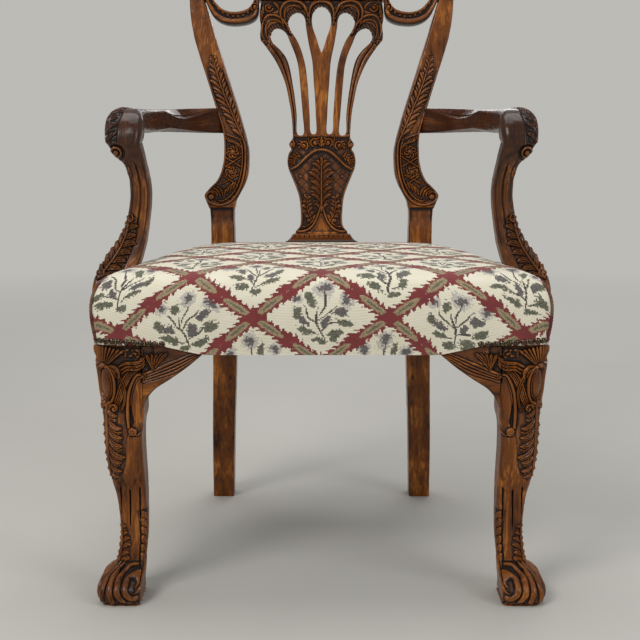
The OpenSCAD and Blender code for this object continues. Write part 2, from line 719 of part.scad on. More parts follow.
// Everything that the upholstery is fitted round
module seat_clearance() {
    g = soft_gap;
    both_sides() {
        // knee and brackets
        translate([-half_w - 20, front_y - 20, rail_z - 40])
            cube([20 + knee_w + 26, 20 + knee_w + 26, knee_h - rail_z + 40 + 2 * g]);
        translate([-leg_in - 1, front_y - 20, rail_z]) rotate([90, 0, 0])
            translate([0, 0, -60]) linear_extrude(60)
                polygon([[0, -20], [bracket_reach + 3, -20], [bracket_reach + 3, 1 + g],
                         [bracket_reach * 0.34, knee_h - rail_z + g], [0, knee_h - rail_z + g]]);
        translate([side_out(leg_back), leg_back, rail_z]) rotate([0, 0, 90 - side_angle])
            translate([-10, -20, -20]) rotate([90, 0, 0]) translate([0, 0, -60])
                linear_extrude(60)
                    polygon([[0, 0], [bracket_reach + 13, 0], [bracket_reach + 13, 21 + g],
                             [bracket_reach * 0.34 + 10, knee_h - rail_z + 20 + g],
                             [0, knee_h - rail_z + 20 + g]]);
        // post
        translate([-rail_x - g, rail_y - g, rail_z]) cube([post_sq + g, post_sq, rail_h + g]);
        // rear leg
        translate([-half_b - 3, stile_y - g, rail_z - 10]) cube([stile_w + 4, 90, seat_h]);
        // arm support
        translate([-half_w - 30, support_y - 39, rail_z - 10])
            cube([half_w + 30 - 256 - min(pad_x, half_w - 330), 78, seat_h - rail_z + 30]);
    }
    // rails and what lies on them
    translate([0, 0, rail_z - 10]) linear_extrude(rail_h + 10 + web_stack + g)
        polygon([[-rail_x - g, rail_y - g], [rail_x + g, rail_y - g],
                 [rail_x + g, post_back], [-side_out(stile_y) + g, stile_y],
                 [-side_out(stile_y) + g, rear_rail_y + rail_t + g],
                 [side_out(stile_y) - g, rear_rail_y + rail_t + g],
                 [side_out(stile_y) - g, stile_y], [-rail_x - g, post_back]]);
    // shoe
    translate([-shoe_half - g, rear_rail_y - g, rail_top])
        cube([2 * (shoe_half + g), 60, 100]);
}
tack_h = 0.6;
hessian_t = 1;
web_stack = 2 * web_t + tack_h + hessian_t;
module seat_stuffing() {
    color(linen) difference() {
        seat_form(fabric_t + soft_gap, rail_z + 1);
        seat_clearance();
    }
}
module seat_cover() {
    color(cream) difference() {
        seat_form(0, rail_z - 1);
        seat_form(fabric_t, rail_z - 3);
        seat_clearance();
    }
}
// Cord sewn into the vertical seam at each front corner
welt_d = 4;
module corner_welt() {
    inset = [for (s = seat_levels) if (s[0] >= 390 && s[0] <= 460) s];
    color(cream) skin([for (s = inset)
        let (p = seat_corner(s[1] - (welt_d / 2 + 0.25) / sqrt(2)))
        lift([for (a = [0 : 45 : 315])
            [p[0] + welt_d / 2 * cos(a), p[1] + welt_d / 2 * sin(a)]], seat_rise(s[0]))]);
}
function seat_corner(inset) =
    let (o = seat_outline(inset, seat_r, 6)) o[17];

// Straps over the open frame, tacked on top of the rails.
// The two straps behind which the shoe stands turn down the rear rail's front.
web_gap = 76;                        // from the middle of one long strap to the next
web_xs = [for (k = [-1.5 : 1 : 1.5]) k * web_gap];
web_first = rail_y + rail_t + 60;
web_last = rear_rail_y - 60;
web_ys = [for (k = [0 : 3]) web_first + k * (web_last - web_first) / 3];
web_tacks = [-web_w / 3, 0, web_w / 3];
turn_h = 12;                         // how far a strap turns down the rear rail
tack_inset = 18;
function turns_down(x) = abs(x) - web_w / 2 < shoe_half + 2;

module webbing_long() {
    y0 = rail_y + 4;
    color(linen) for (x = web_xs) translate([x - web_w / 2, 0, rail_top]) {
        y1 = turns_down(x) ? rear_rail_y : rear_rail_y + rail_t - 6;
        translate([0, y0, 0]) cube([web_w, y1 - y0 - (turns_down(x) ? joint_gap : 0), web_t]);
        if (turns_down(x)) translate([0, rear_rail_y - joint_gap - web_t, -turn_h])
            cube([web_w, web_t, turn_h + web_t]);
    }
}
module webbing_cross() {
    color(linen) for (y = web_ys) {
        half = -side_out(y + web_w / 2) - 12;
        translate([-half, y - web_w / 2, rail_top + web_t]) cube([2 * half, web_w, web_t]);
    }
}
module tack(x, y, z) {
    translate([x, y, z]) cylinder(d = 6, h = tack_h);
}
module webbing_tacks() {
    color(iron) {
        for (x = web_xs) for (dx = web_tacks) {
            tack(x + dx, rail_y + 10, rail_top + web_t);
            if (!turns_down(x)) tack(x + dx, rear_rail_y + 9, rail_top + web_t);
            else translate([x + dx, rear_rail_y - joint_gap - web_t - tack_h, rail_top - 7])
                rotate([-90, 0, 0]) cylinder(d = 6, h = tack_h);
        }
        for (y = web_ys) for (dy = web_tacks) both_sides()
            tack(side_out(y + web_w / 2) + tack_inset, y + dy, rail_top + 2 * web_t);
    }
}
// Sackcloth over the webbing, under the stuffing
module hessian() {
    edge = 22;
    y0 = rail_y + 6;
    y1 = stile_y - 6;
    color(linen) translate([0, 0, rail_top + 2 * web_t + tack_h]) linear_extrude(hessian_t)
        polygon([[-rail_x + edge, y0], [rail_x - edge, y0], [-side_out(post_back) - edge, post_back],
                 [-side_out(y1) - edge, y1], [side_out(y1) + edge, y1],
                 [side_out(post_back) + edge, post_back]]);
}
// Black cloth under the frame
cover_t = 0.8;
module dust_cover() {
    edge = 9;
    y0 = rail_y + rail_t - edge;
    y1 = leg_back + bracket_reach;
    y2 = stile_y - 4;
    color(iron) translate([0, 0, rail_z - cover_t]) linear_extrude(cover_t)
        polygon([[leg_in - bracket_reach * 0.4, y0], [post_in - 4, y1],
                 [-side_in(y2) + edge - 1, y2], [rear_post_in - 3, y2],
                 [rear_post_in - 3, rear_rail_y + edge], [-rear_post_in + 3, rear_rail_y + edge],
                 [-rear_post_in + 3, y2], [side_in(y2) - edge + 1, y2], [-post_in + 4, y1],
                 [-leg_in + bracket_reach * 0.4, y0]]);
}

// ------------------------------------------------------------ knee nails

// The row starts along the front, wraps the corner and runs back to the arm support
nail_z = knee_h + 4;
nail_rise = 5;                       // how much higher the row is at the corner
nail_gap = 0.75;
seat_r = 26;                         // corner radius of the seat
nail_arc = seat_r * PI / 2;
function nail_inset(z) = lookup(z, seat_levels);
function nail_height(d) = nail_z + nail_rise * max(0, min(1, (d + 60) / 60));
// Place and heading of a nail at a distance along the row from the corner's start
function nail_spot(d) =
    let (z = nail_height(d), inset = nail_inset(z), cx = seat_half_front - inset - seat_r,
         cy = seat_front_y + inset + seat_r, a = d / nail_arc * 90, y = cy + d - nail_arc,
         r = seat_r + nail_gap)
    d < 0 ? [-cx - d, cy - r, z, 0]
    : d < nail_arc ? [-(cx + r * sin(a)) * seat_half(cy - r * cos(a)) / seat_half_front,
                      cy - r * cos(a), z, -a]
    : [-seat_half(y) + inset - nail_gap, y, z, -90 - seat_lean];
seat_lean = atan((seat_half_front - seat_half_back) / (seat_back_y - seat_front_y));
front_nails = floor((half_w - seat_r - leg_in + bracket_reach * 0.4) / nail_pitch);
side_nails = floor((nail_arc + support_y - 42 - seat_front_y - seat_r) / nail_pitch);

// A domed head with a flat back
module nail() {
    rotate([90, 0, 0]) intersection() {
        translate([0, 0, -nail_d / 8]) sphere(d = nail_d);
        cylinder(d = nail_d, h = nail_d);
    }
}
module knee_nails() {
    color(iron) both_sides() for (k = [-front_nails : side_nails]) {
        spot = nail_spot(k * nail_pitch);
        translate([spot[0], spot[1], spot[2]]) rotate([0, 0, spot[3]]) nail();
    }
}

// ------------------------------------------------------------------ the chair

front_leg();  // front_leg_left
on_side(true) front_leg();  // front_leg_right
rear_leg();  // rear_leg_left
on_side(true) rear_leg();  // rear_leg_right
front_bracket();  // front_bracket_left
on_side(true) front_bracket();  // front_bracket_right
side_bracket();  // side_bracket_left
on_side(true) side_bracket();  // side_bracket_right
front_rail();
rear_rail();
side_rail();  // side_rail_left
on_side(true) side_rail();  // side_rail_right
corner_block_front();  // corner_block_front_left
on_side(true) corner_block_front();  // corner_block_front_right
corner_block_rear();  // corner_block_rear_left
on_side(true) corner_block_rear();  // corner_block_rear_right
rail_pegs();
block_screws();
splat_shoe();
splat();
crest_rail();
arm();  // arm_left
on_side(true) arm();  // arm_right
arm_support();  // arm_support_left
on_side(true) arm_support();  // arm_support_right
arm_screws();
arm_screw_plugs();
support_screws();
webbing_long();
webbing_cross();
webbing_tacks();
hessian();
seat_stuffing();
seat_cover();
corner_welt();  // corner_welt_left
on_side(true) corner_welt();  // corner_welt_right
knee_nails();
dust_cover();
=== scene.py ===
# %% [markdown]
# # A carved walnut open armchair
# The chair has carved cabriole front legs, a stuffed seat under a needlepoint cover, a pierced
# and carved splat back and open arms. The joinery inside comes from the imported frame. Every
# surface that shows is built here as a mesh, because its carving is a shape that catches light,
# not a colour.

# %% Load the frame
import math

import bpy
import numpy as np
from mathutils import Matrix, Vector
from mathutils.bvhtree import BVHTree


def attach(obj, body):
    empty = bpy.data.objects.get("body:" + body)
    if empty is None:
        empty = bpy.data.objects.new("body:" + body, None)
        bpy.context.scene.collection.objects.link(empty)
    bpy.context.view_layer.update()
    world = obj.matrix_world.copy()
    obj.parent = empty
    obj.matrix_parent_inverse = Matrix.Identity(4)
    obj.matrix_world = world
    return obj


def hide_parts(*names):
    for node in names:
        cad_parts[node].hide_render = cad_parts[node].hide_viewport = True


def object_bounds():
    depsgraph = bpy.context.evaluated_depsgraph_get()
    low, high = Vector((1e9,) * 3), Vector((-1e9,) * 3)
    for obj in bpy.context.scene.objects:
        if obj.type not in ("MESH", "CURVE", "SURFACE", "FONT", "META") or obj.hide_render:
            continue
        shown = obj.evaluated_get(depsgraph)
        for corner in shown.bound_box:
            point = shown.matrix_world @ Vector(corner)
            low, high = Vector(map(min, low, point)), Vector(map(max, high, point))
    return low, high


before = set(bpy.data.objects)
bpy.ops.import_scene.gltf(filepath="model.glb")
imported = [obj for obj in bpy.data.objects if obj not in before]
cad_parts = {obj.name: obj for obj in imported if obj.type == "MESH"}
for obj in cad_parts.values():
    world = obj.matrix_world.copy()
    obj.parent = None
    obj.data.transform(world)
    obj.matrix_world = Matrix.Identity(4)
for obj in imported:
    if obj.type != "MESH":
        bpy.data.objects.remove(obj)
cad_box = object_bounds()
BOX_SLACK = 0.05         # mm that the carving keeps inside the frame's own box
BOX_LOW, BOX_HIGH = np.array([list(v) for v in cad_box]) * 1000.0 + [[BOX_SLACK], [-BOX_SLACK]]
print("frame nodes:", len(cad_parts))

# %% [markdown]
# ## The room and the camera
# A pale floor and a wide soft light, as in a plain studio. The camera stands about 1.8 m in
# front of the chair at 0.73 m and looks slightly down, so that the legs and the seat show at
# once and the top of the back leaves the picture.

# %% Camera
scene = bpy.context.scene
scene.view_settings.view_transform = "Standard"
camera_data = bpy.data.cameras.new("camera")
camera_data.sensor_width = 36.0
camera_data.lens = 73.2
camera = bpy.data.objects.new("camera", camera_data)
camera.location = (0.0, -2.0503, 0.7251)
camera.rotation_euler = (math.pi / 2 - 0.17218, 0.0, math.radians(0.066))
scene.collection.objects.link(camera)
scene.camera = camera


# %% Lamps
def soft_lamp(name, place, aim, size, watts, tint=(1.0, 1.0, 1.0)):
    data = bpy.data.lights.new(name, "AREA")
    data.shape = "RECTANGLE"
    data.size, data.size_y = size
    data.energy = watts
    data.color = tint
    lamp = bpy.data.objects.new(name, data)
    lamp.location = place
    heading = np.array(aim) - np.array(place)
    flat = math.hypot(heading[0], heading[1])
    lamp.rotation_euler = (math.atan2(flat, -heading[2]), 0.0,
                           math.atan2(-heading[0], heading[1]))
    scene.collection.objects.link(lamp)


soft_lamp("key_lamp", (-1.5, -2.2, 2.5), (0.0, 0.0, 0.45), (1.3, 1.0), 46, (1.0, 0.985, 0.96))
soft_lamp("fill_lamp", (2.2, -1.9, 1.7), (0.0, 0.0, 0.45), (1.3, 1.3), 20, (0.97, 0.985, 1.0))
soft_lamp("top_lamp", (0.0, 0.4, 3.0), (0.0, 0.1, 0.4), (2.0, 1.6), 30)
soft_lamp("back_lamp", (0.6, 2.8, 1.7), (0.0, 0.0, 0.5), (1.6, 1.2), 14)

# %% [markdown]
# ## Shader sums
# A finish is a sum of masks. This class wraps a socket, so that a mask is written as a Python
# expression and each operator adds its own node.


# %% Sockets as values
class Value:
    """A socket in a material, or a plain number."""

    def __init__(self, tree, socket):
        self.tree = tree
        self.socket = socket

    def maths(self, operation, *values, clamp=False):
        node = self.tree.nodes.new("ShaderNodeMath")
        node.operation = operation
        node.use_clamp = clamp
        for place, value in zip(node.inputs, values):
            put(self.tree, place, value)
        return Value(self.tree, node.outputs[0])

    def __add__(self, other): return self.maths("ADD", self, other)
    def __radd__(self, other): return self.maths("ADD", self, other)
    def __sub__(self, other): return self.maths("SUBTRACT", self, other)
    def __rsub__(self, other): return self.maths("SUBTRACT", other, self)
    def __mul__(self, other): return self.maths("MULTIPLY", self, other)
    def __rmul__(self, other): return self.maths("MULTIPLY", self, other)
    def __truediv__(self, other): return self.maths("DIVIDE", self, other)
    def __gt__(self, other): return self.maths("GREATER_THAN", self, other)

    def abs(self): return self.maths("ABSOLUTE", self)
    def floor(self): return self.maths("FLOOR", self)
    def fract(self): return self.maths("FRACT", self)
    def sqrt(self): return self.maths("SQRT", self)
    def most(self, other): return self.maths("MAXIMUM", self, other)
    def clip(self): return self.maths("ADD", self, 0.0, clamp=True)
    def ping(self, span): return self.maths("PINGPONG", self, span)

    def ramp(self, low, high):
        """0 below low, 1 above high, and a straight run between."""
        return ((self - low) * (1.0 / (high - low))).clip()


def put(tree, place, what):
    if isinstance(what, Value):
        tree.links.new(what.socket, place)
    elif isinstance(what, tuple) and len(what) == 3 and place.type == "RGBA":
        place.default_value = (*what, 1.0)
    else:
        place.default_value = what


class Finish:
    """A material that is being put together."""

    def __init__(self, name):
        self.material = bpy.data.materials.new(name)
        self.material.use_nodes = True
        self.tree = self.material.node_tree
        self.tree.nodes.clear()
        self.out = self.tree.nodes.new("ShaderNodeOutputMaterial")

    def add(self, kind, settings=None, sockets=None, out=0):
        """Adds a node: its settings first, then its sockets by name or number."""
        node = self.tree.nodes.new("ShaderNode" + kind)
        for key, what in (settings or {}).items():
            setattr(node, key, what)
        for key, what in (sockets or {}).items():
            put(self.tree, node.inputs[key], what)
        return Value(self.tree, node.outputs[out])

    def noise(self, where, scale, detail=3.0, rough=0.5, lean=0.0):
        return self.add("TexNoise", {"noise_dimensions": "3D"},
                        {"Vector": where, "Scale": scale, "Detail": detail,
                         "Roughness": rough, "Distortion": lean})

    def stretch(self, where, scale, shift=(0.0, 0.0, 0.0)):
        return self.add("Mapping", {}, {"Vector": where, "Location": shift, "Scale": scale})

    def ramp(self, value, stops):
        """A colour from a row of (place, colour) stops."""
        node = self.tree.nodes.new("ShaderNodeValToRGB")
        node.color_ramp.interpolation = "EASE"
        while len(node.color_ramp.elements) < len(stops):
            node.color_ramp.elements.new(0.5)
        for element, (place, colour) in zip(node.color_ramp.elements, stops):
            element.position = place
            element.color = (*colour, 1.0)
        put(self.tree, node.inputs[0], value)
        return Value(self.tree, node.outputs[0])

    def mix(self, amount, under, over):
        """A colour between two colours, by the amount of the second."""
        node = self.tree.nodes.new("ShaderNodeMix")
        node.data_type = "RGBA"
        put(self.tree, node.inputs[0], amount)
        put(self.tree, node.inputs[6], under)
        put(self.tree, node.inputs[7], over)
        return Value(self.tree, node.outputs[2])

    def flat_place(self, where, scale):
        """The first two parts of a place, scaled."""
        parts = self.tree.nodes.new("ShaderNodeSeparateXYZ")
        put(self.tree, parts.inputs[0], where)
        return [Value(self.tree, parts.outputs[k]) * scale for k in (0, 1)]

    def painted(self, name):
        """A value kept on the mesh's own points."""
        return self.add("Attribute", {"attribute_name": name}, out=2)

    def bump(self, height, depth, strength):
        return self.add("Bump", {}, {"Height": height, "Distance": depth, "Strength": strength})

    def surface(self, **sockets):
        """The finished surface, from the shader's own sockets."""
        node = self.tree.nodes.new("ShaderNodeBsdfPrincipled")
        for key, what in sockets.items():
            put(self.tree, node.inputs[key.replace("_", " ")], what)
        self.tree.links.new(node.outputs[0], self.out.inputs[0])
        return self.material


print("shader sums ready")

# %% Floor
BACKDROP = (0.50, 0.495, 0.47)
floor_finish = Finish("studio_floor")
floor_place = floor_finish.add("TexCoord", out=3)
far_off = floor_finish.add("VectorMath", {"operation": "LENGTH"}, {0: floor_place}, out=1)
floor_shade = floor_finish.noise(floor_place, 2.0, 2.0)
floor_colour = floor_finish.mix(floor_shade, (0.53, 0.515, 0.475), (0.58, 0.565, 0.525))
near_floor = floor_finish.add("BsdfDiffuse", {}, {"Color": floor_colour})
far_floor = floor_finish.add("Emission", {}, {"Color": BACKDROP, "Strength": 1.0})
floor_fade = floor_finish.add("MixShader", {}, {0: far_off.ramp(1.1, 3.4), 1: near_floor,
                                                2: far_floor})
floor_finish.tree.links.new(floor_fade.socket, floor_finish.out.inputs[0])
floor_mesh = bpy.data.meshes.new("floor")
floor_mesh.from_pydata([(-40, -40, 0), (40, -40, 0), (40, 40, 0), (-40, 40, 0)], [],
                       [(0, 1, 2, 3)])
floor = bpy.data.objects.new("floor", floor_mesh)
floor_mesh.materials.append(floor_finish.material)
scene.collection.objects.link(floor)

# %% Air
world = bpy.data.worlds.new("air")
scene.world = world
world.use_nodes = True
air = world.node_tree.nodes
air.clear()
air_out = air.new("ShaderNodeOutputWorld")
plain_air = air.new("ShaderNodeBackground")
plain_air.inputs[0].default_value = (0.94, 0.95, 0.96, 1.0)
plain_air.inputs[1].default_value = 0.34
seen_air = air.new("ShaderNodeBackground")
seen_air.inputs[0].default_value = (*BACKDROP, 1.0)
seen_air.inputs[1].default_value = 1.0
ray = air.new("ShaderNodeLightPath")
choice = air.new("ShaderNodeMixShader")
join = world.node_tree.links.new
join(ray.outputs["Is Camera Ray"], choice.inputs[0])
join(plain_air.outputs[0], choice.inputs[1])
join(seen_air.outputs[0], choice.inputs[2])
join(choice.outputs[0], air_out.inputs[0])
print("room ready")

# %% [markdown]
# ## Carving
# A carver outlines each leaf and scroll, sinks the ground round it and then models its top. The
# same is done here on a sheet of heights in millimetres. Each stroke first cuts a small moat
# round itself and then stands up out of it, so a later stroke lies over an earlier one. The
# sheet is laid on a leg or a flat piece at the end, as real shape.


# %% Curves through tables
def curve(table, where):
    """A smooth curve through (place, value) rows, for an array of places."""
    table = np.asarray(table, float)
    t, v = table[:, 0], table[:, 1]
    slope = np.empty_like(v)
    slope[1:-1] = (v[2:] - v[:-2]) / (t[2:] - t[:-2])
    slope[0] = (v[1] - v[0]) / (t[1] - t[0])
    slope[-1] = (v[-1] - v[-2]) / (t[-1] - t[-2])
    where = np.clip(where, t[0], t[-1])
    i = np.clip(np.searchsorted(t, where, side="right") - 1, 0, len(t) - 2)
    h = t[i + 1] - t[i]
    u = (where - t[i]) / h
    u2, u3 = u * u, u * u * u
    return ((2 * u3 - 3 * u2 + 1) * v[i] + (u3 - 2 * u2 + u) * slope[i] * h
            + (3 * u2 - 2 * u3) * v[i + 1] + (u3 - u2) * slope[i + 1] * h)


def straight(table, where):
    """The same, but with straight runs between the rows; a lone number is its own table."""
    if np.isscalar(table):
        return np.full(np.shape(where), float(table))
    return np.interp(where, [row[0] for row in table], [row[1] for row in table])


def eased(x):
    x = np.clip(x, 0.0, 1.0)
    return x * x * (3 - 2 * x)


def within(x, low, high, rise, fall):
    """1 between two places and 0 beyond, eased over rise at the low one and fall at the high."""
    return eased((x - low) / rise) * eased((high - x) / fall)


def swell(start, full, end, at=0.5):
    """A table for a stroke that grows to its full size and dies away again."""
    return [(0, start), (at, full), (1, end)]


def smooth_line(points, step=0.8, closed=False):
    """Points every step or so along a smooth line through the given points."""
    p = np.asarray(points, float)
    if len(p) == 2 and not closed:
        count = max(2, int(np.hypot(*(p[1] - p[0])) / step))
        return p[0] + (p[1] - p[0]) * np.linspace(0, 1, count)[:, None]
    if closed:
        p = np.vstack([p[-1:], p, p[:2]])
    else:
        p = np.vstack([2 * p[0] - p[1], p, 2 * p[-1] - p[-2]])
    out = []
    for a, b, c, d in zip(p[:-3], p[1:-2], p[2:-1], p[3:]):
        t1 = max(np.hypot(*(b - a)), 1e-6) ** 0.5
        t2 = max(np.hypot(*(c - b)), 1e-6) ** 0.5
        t3 = max(np.hypot(*(d - c)), 1e-6) ** 0.5
        m1 = ((b - a) / t1 - (c - a) / (t1 + t2) + (c - b) / t2) * t2
        m2 = ((c - b) / t2 - (d - b) / (t2 + t3) + (d - c) / t3) * t2
        u = np.linspace(0, 1, max(2, int(np.hypot(*(c - b)) / step) + 1), endpoint=False)[:, None]
        out.append((2 * u**3 - 3 * u**2 + 1) * b + (u**3 - 2 * u**2 + u) * m1
                   + (3 * u**2 - 2 * u**3) * c + (u**3 - u**2) * m2)
    if not closed:
        out.append(p[-2:-1])
    return np.vstack(out)


def spiral(centre, radius, turns, start, way=1):
    """A scroll's line in to a quarter of its radius. In degrees; way 1 turns anticlockwise."""
    u = np.linspace(0, 1, int(30 * turns) + 2)
    angle = np.radians(start) + way * 2 * math.pi * turns * u
    r = radius * (1 - 0.75 * u)
    return np.stack([centre[0] + r * np.cos(angle), centre[1] + r * np.sin(angle)], 1)


def arc(centre, across, up=None, start=0, end=360, count=60):
    """Points along part of an oval, angles in degrees."""
    angle = np.radians(np.linspace(start, end, count))
    return np.stack([centre[0] + across * np.cos(angle),
                     centre[1] + (up or across) * np.sin(angle)], 1)


# %% Sections of a stroke
def section(shape, q):
    """How high a stroke stands at a share q of its half width."""
    if shape == "round":
        return np.sqrt(np.clip(1 - q * q, 0, 1))
    if shape == "ridge":
        return np.clip(1 - q, 0, 1) ** 0.85
    if shape == "leaf":
        return np.sqrt(np.clip(1 - q * q, 0, 1)) - 0.5 * np.exp(-((q / 0.22) ** 2))
    if shape == "acanthus":
        return np.sqrt(np.clip(1 - q * q, 0, 1)) * (0.76 + 0.24 * np.cos(3 * math.pi * q))
    if shape == "cup":
        return (0.45 + 0.55 * q * q) * eased((1 - q) / 0.16)
    raise ValueError(shape)


# %% The carved sheet
MOAT_W = 1.4             # mm that a stroke's moat reaches from its edge
THINNEST = 0.05          # mm, the least half width of a stroke
NOWHERE = -99.0          # mm, below every carving


class Carving:
    """Heights on a sheet of points whose places, across and up, are in millimetres."""

    def __init__(self, across, up, mirrored=False):
        self.u, self.v = across, up
        self.h = np.zeros(across.shape)
        self.mirrored = mirrored

    def near(self, line, reach):
        """The points within reach of a line: their places in the sheet, distance and share."""
        low, high = line.min(0) - reach, line.max(0) + reach
        pick = np.nonzero((self.u > low[0]) & (self.u < high[0])
                          & (self.v > low[1]) & (self.v < high[1]))
        if len(pick[0]) == 0:
            return pick, np.zeros(0), np.zeros(0)
        px, py = self.u[pick][:, None], self.v[pick][:, None]
        ax, ay = line[:-1, 0], line[:-1, 1]
        bx, by = np.diff(line[:, 0]), np.diff(line[:, 1])
        size = np.maximum(np.hypot(bx, by), 1e-9)
        t = np.clip(((px - ax) * bx + (py - ay) * by) / size**2, 0, 1)
        ex, ey = px - ax - t * bx, py - ay - t * by
        gap = ex * ex + ey * ey
        k = gap.argmin(1)
        rows = np.arange(len(k))
        run = np.concatenate([[0], np.cumsum(size)])
        return pick, np.sqrt(gap[rows, k]), (run[k] + t[rows, k] * size[k]) / run[-1]

    def lines(self, points, wide, margin, ready):
        """A line and its mirror image: the points near each, their distance, share and width."""
        line = np.asarray(points, float) if ready else smooth_line(points)
        widest = wide if np.isscalar(wide) else max(row[1] for row in wide)
        for way in ((1.0, -1.0) if self.mirrored else (1.0,)):
            pick, gap, share = self.near(line * [way, 1.0], widest + margin)
            if len(gap):
                yield pick, gap, share, np.maximum(straight(wide, share), THINNEST)

    def stroke(self, points, wide, high, shape="round", level=0.0, moat=0.9, ready=False):
        """A raised line. wide is its half width and high its height, both may be tables."""
        for pick, gap, share, half in self.lines(points, wide, MOAT_W + 0.2, ready):
            dip = moat * eased(1 - (gap - half) / MOAT_W) * np.clip(half / 1.2, 0, 1)
            q = gap / half
            top = level + straight(high, share) * section(shape, np.clip(q, 0, 1)) - moat * q**4
            self.h[pick] = np.maximum(self.h[pick] - dip, np.where(q < 1, top, NOWHERE))

    def strokes(self, rows):
        """Several strokes, each a row of what stroke takes."""
        for row in rows:
            self.stroke(*row)

    def groove(self, points, wide, deep, ready=False):
        """A cut line with sloping sides."""
        for pick, gap, share, half in self.lines(points, wide, 0.0, ready):
            self.h[pick] -= straight(deep, share) * np.clip(1 - gap / half, 0, 1)

    def boss(self, x, y, rx, ry, high, level=0.0, moat=0.9, power=0.5):
        """A domed oval."""
        for sign in ((1, -1) if self.mirrored and abs(x) > 0.01 else (1,)):
            q = np.hypot((self.u - x * sign) / rx, (self.v - y) / ry)
            dip = moat * eased(1 - (q - 1) * min(rx, ry) / MOAT_W)
            near = q < 1 + 2.0 / min(rx, ry)
            raised = np.where(q < 1, level + high * np.clip(1 - q * q, 0, 1) ** power, NOWHERE)
            self.h = np.where(near, np.maximum(self.h - dip, raised), self.h)

    def scroll(self, centre, radius, turns, start, way, wide, high, eye=0.3, level=0.0):
        """A volute with a domed eye."""
        self.stroke(spiral(centre, radius, turns, start, way), [(0, wide), (1, wide * 0.6)],
                    high, level=level, ready=True)
        if eye:
            self.boss(centre[0], centre[1], radius * eye, radius * eye, high * 1.15, level=level)

    def frond(self, spine, count, reach, lean, wide, high, sides=(1,), curl=25.0,
              shape="acanthus", level=0.0, first=0.04, last=0.95, rib=1.3, moat=0.6):
        """A long leaf. Its lobes leave the spine at an angle and curl outwards at their tips."""
        line = smooth_line(spine)
        shares = np.linspace(first, last, count)[::-1]
        # lower lobes first: they show between the upper ones
        lobes = [(share + 0.5 * (last - first) / count, 0.94, 1.25) for share in shares]
        lobes += [(share, 1.0, 0.0) for share in shares]
        for n, (share, shorter, lower) in enumerate(lobes):
            place = min(share, 0.99) * (len(line) - 1)
            i = min(int(place), len(line) - 2)
            foot = line[i] + (line[i + 1] - line[i]) * (place - i)
            way = line[min(i + 3, len(line) - 1)] - line[max(i - 3, 0)]
            heading = math.atan2(way[1], way[0])
            long = float(straight(reach, share)) * shorter * (1 + 0.09 * math.sin(2.4 * n))
            size = float(straight(wide, share))
            for side in sides:
                points = [foot]
                for part, turn in ((0.40, 0.0), (0.35, 0.45), (0.25, 1.0)):
                    angle = heading + math.radians(lean + curl * turn) * side
                    points.append(points[-1] + long * part * np.array([math.cos(angle),
                                                                       math.sin(angle)]))
                self.stroke(points, [(0, size * 0.45), (0.55, size), (0.85, size * 0.8),
                                     (1, size * 0.2)],
                            [(0, high * 0.7), (0.6, high), (1, high * 0.65)], shape,
                            level=level - lower, moat=moat if lower == 0 else 0.4)
        if rib:
            self.stroke(spine, [(0, rib), (0.8, rib * 0.8), (1, rib * 0.4)], high * 1.05,
                        level=level, moat=0.5)

    def tooled(self, size, amount, seed):
        """The faint unevenness that a gouge leaves."""
        dice = np.random.default_rng(seed)
        grid = dice.normal(size=(64, 64))
        x, y = self.u / size, self.v / size
        i, j = np.floor(x).astype(int), np.floor(y).astype(int)
        a, b = eased(x - i), eased(y - j)
        for di, dj in ((0, 0), (1, 0), (0, 1), (1, 1)):
            share = (a if di else 1 - a) * (b if dj else 1 - b)
            self.h = self.h + amount * share * grid[(i + di) % 64, (j + dj) % 64]


def softened(grid, passes, wrap=False, kept=None):
    """Heights blurred along both ways of a sheet, from the kept points alone."""
    if kept is not None:
        return (softened(np.where(kept, grid, 0.0), passes)
                / np.maximum(softened(kept.astype(float), passes), 1e-6))
    out = grid.copy()
    for _ in range(passes):
        for axis in (0, 1):
            if wrap and axis == 1:
                before, after = np.roll(out, 1, 1), np.roll(out, -1, 1)
            else:
                first = np.take(out, [0], axis)
                last = np.take(out, [-1], axis)
                whole = np.concatenate([first, out, last], axis)
                size = out.shape[axis]
                before = np.take(whole, range(size), axis)
                after = np.take(whole, range(2, size + 2), axis)
            out = 0.25 * before + 0.5 * out + 0.25 * after
    return out


def recess(grid, wrap=False, kept=None):
    """How far a point lies below its surroundings, as a share: 0.5 is level."""
    wide = softened(grid, 30, wrap, kept) - grid
    close = softened(grid, 4, wrap, kept) - grid
    # the carved parts count as lower as a whole, so that the painted shade darkens the carved ground
    worked = np.clip(softened(np.abs(close), 14, wrap, kept) * 9.0 - 0.25, 0, 1)
    return np.clip(0.5 + 0.14 * wide + 0.40 * close - 0.02 * np.minimum(grid, 0)
                   + 0.11 * worked, 0, 1)


# %% Meshes
def painted_seat_shade(up):
    """Painted shade: extra darkness on wood that the seat overhangs."""
    return 0.065 * eased((up - 315) / 40)


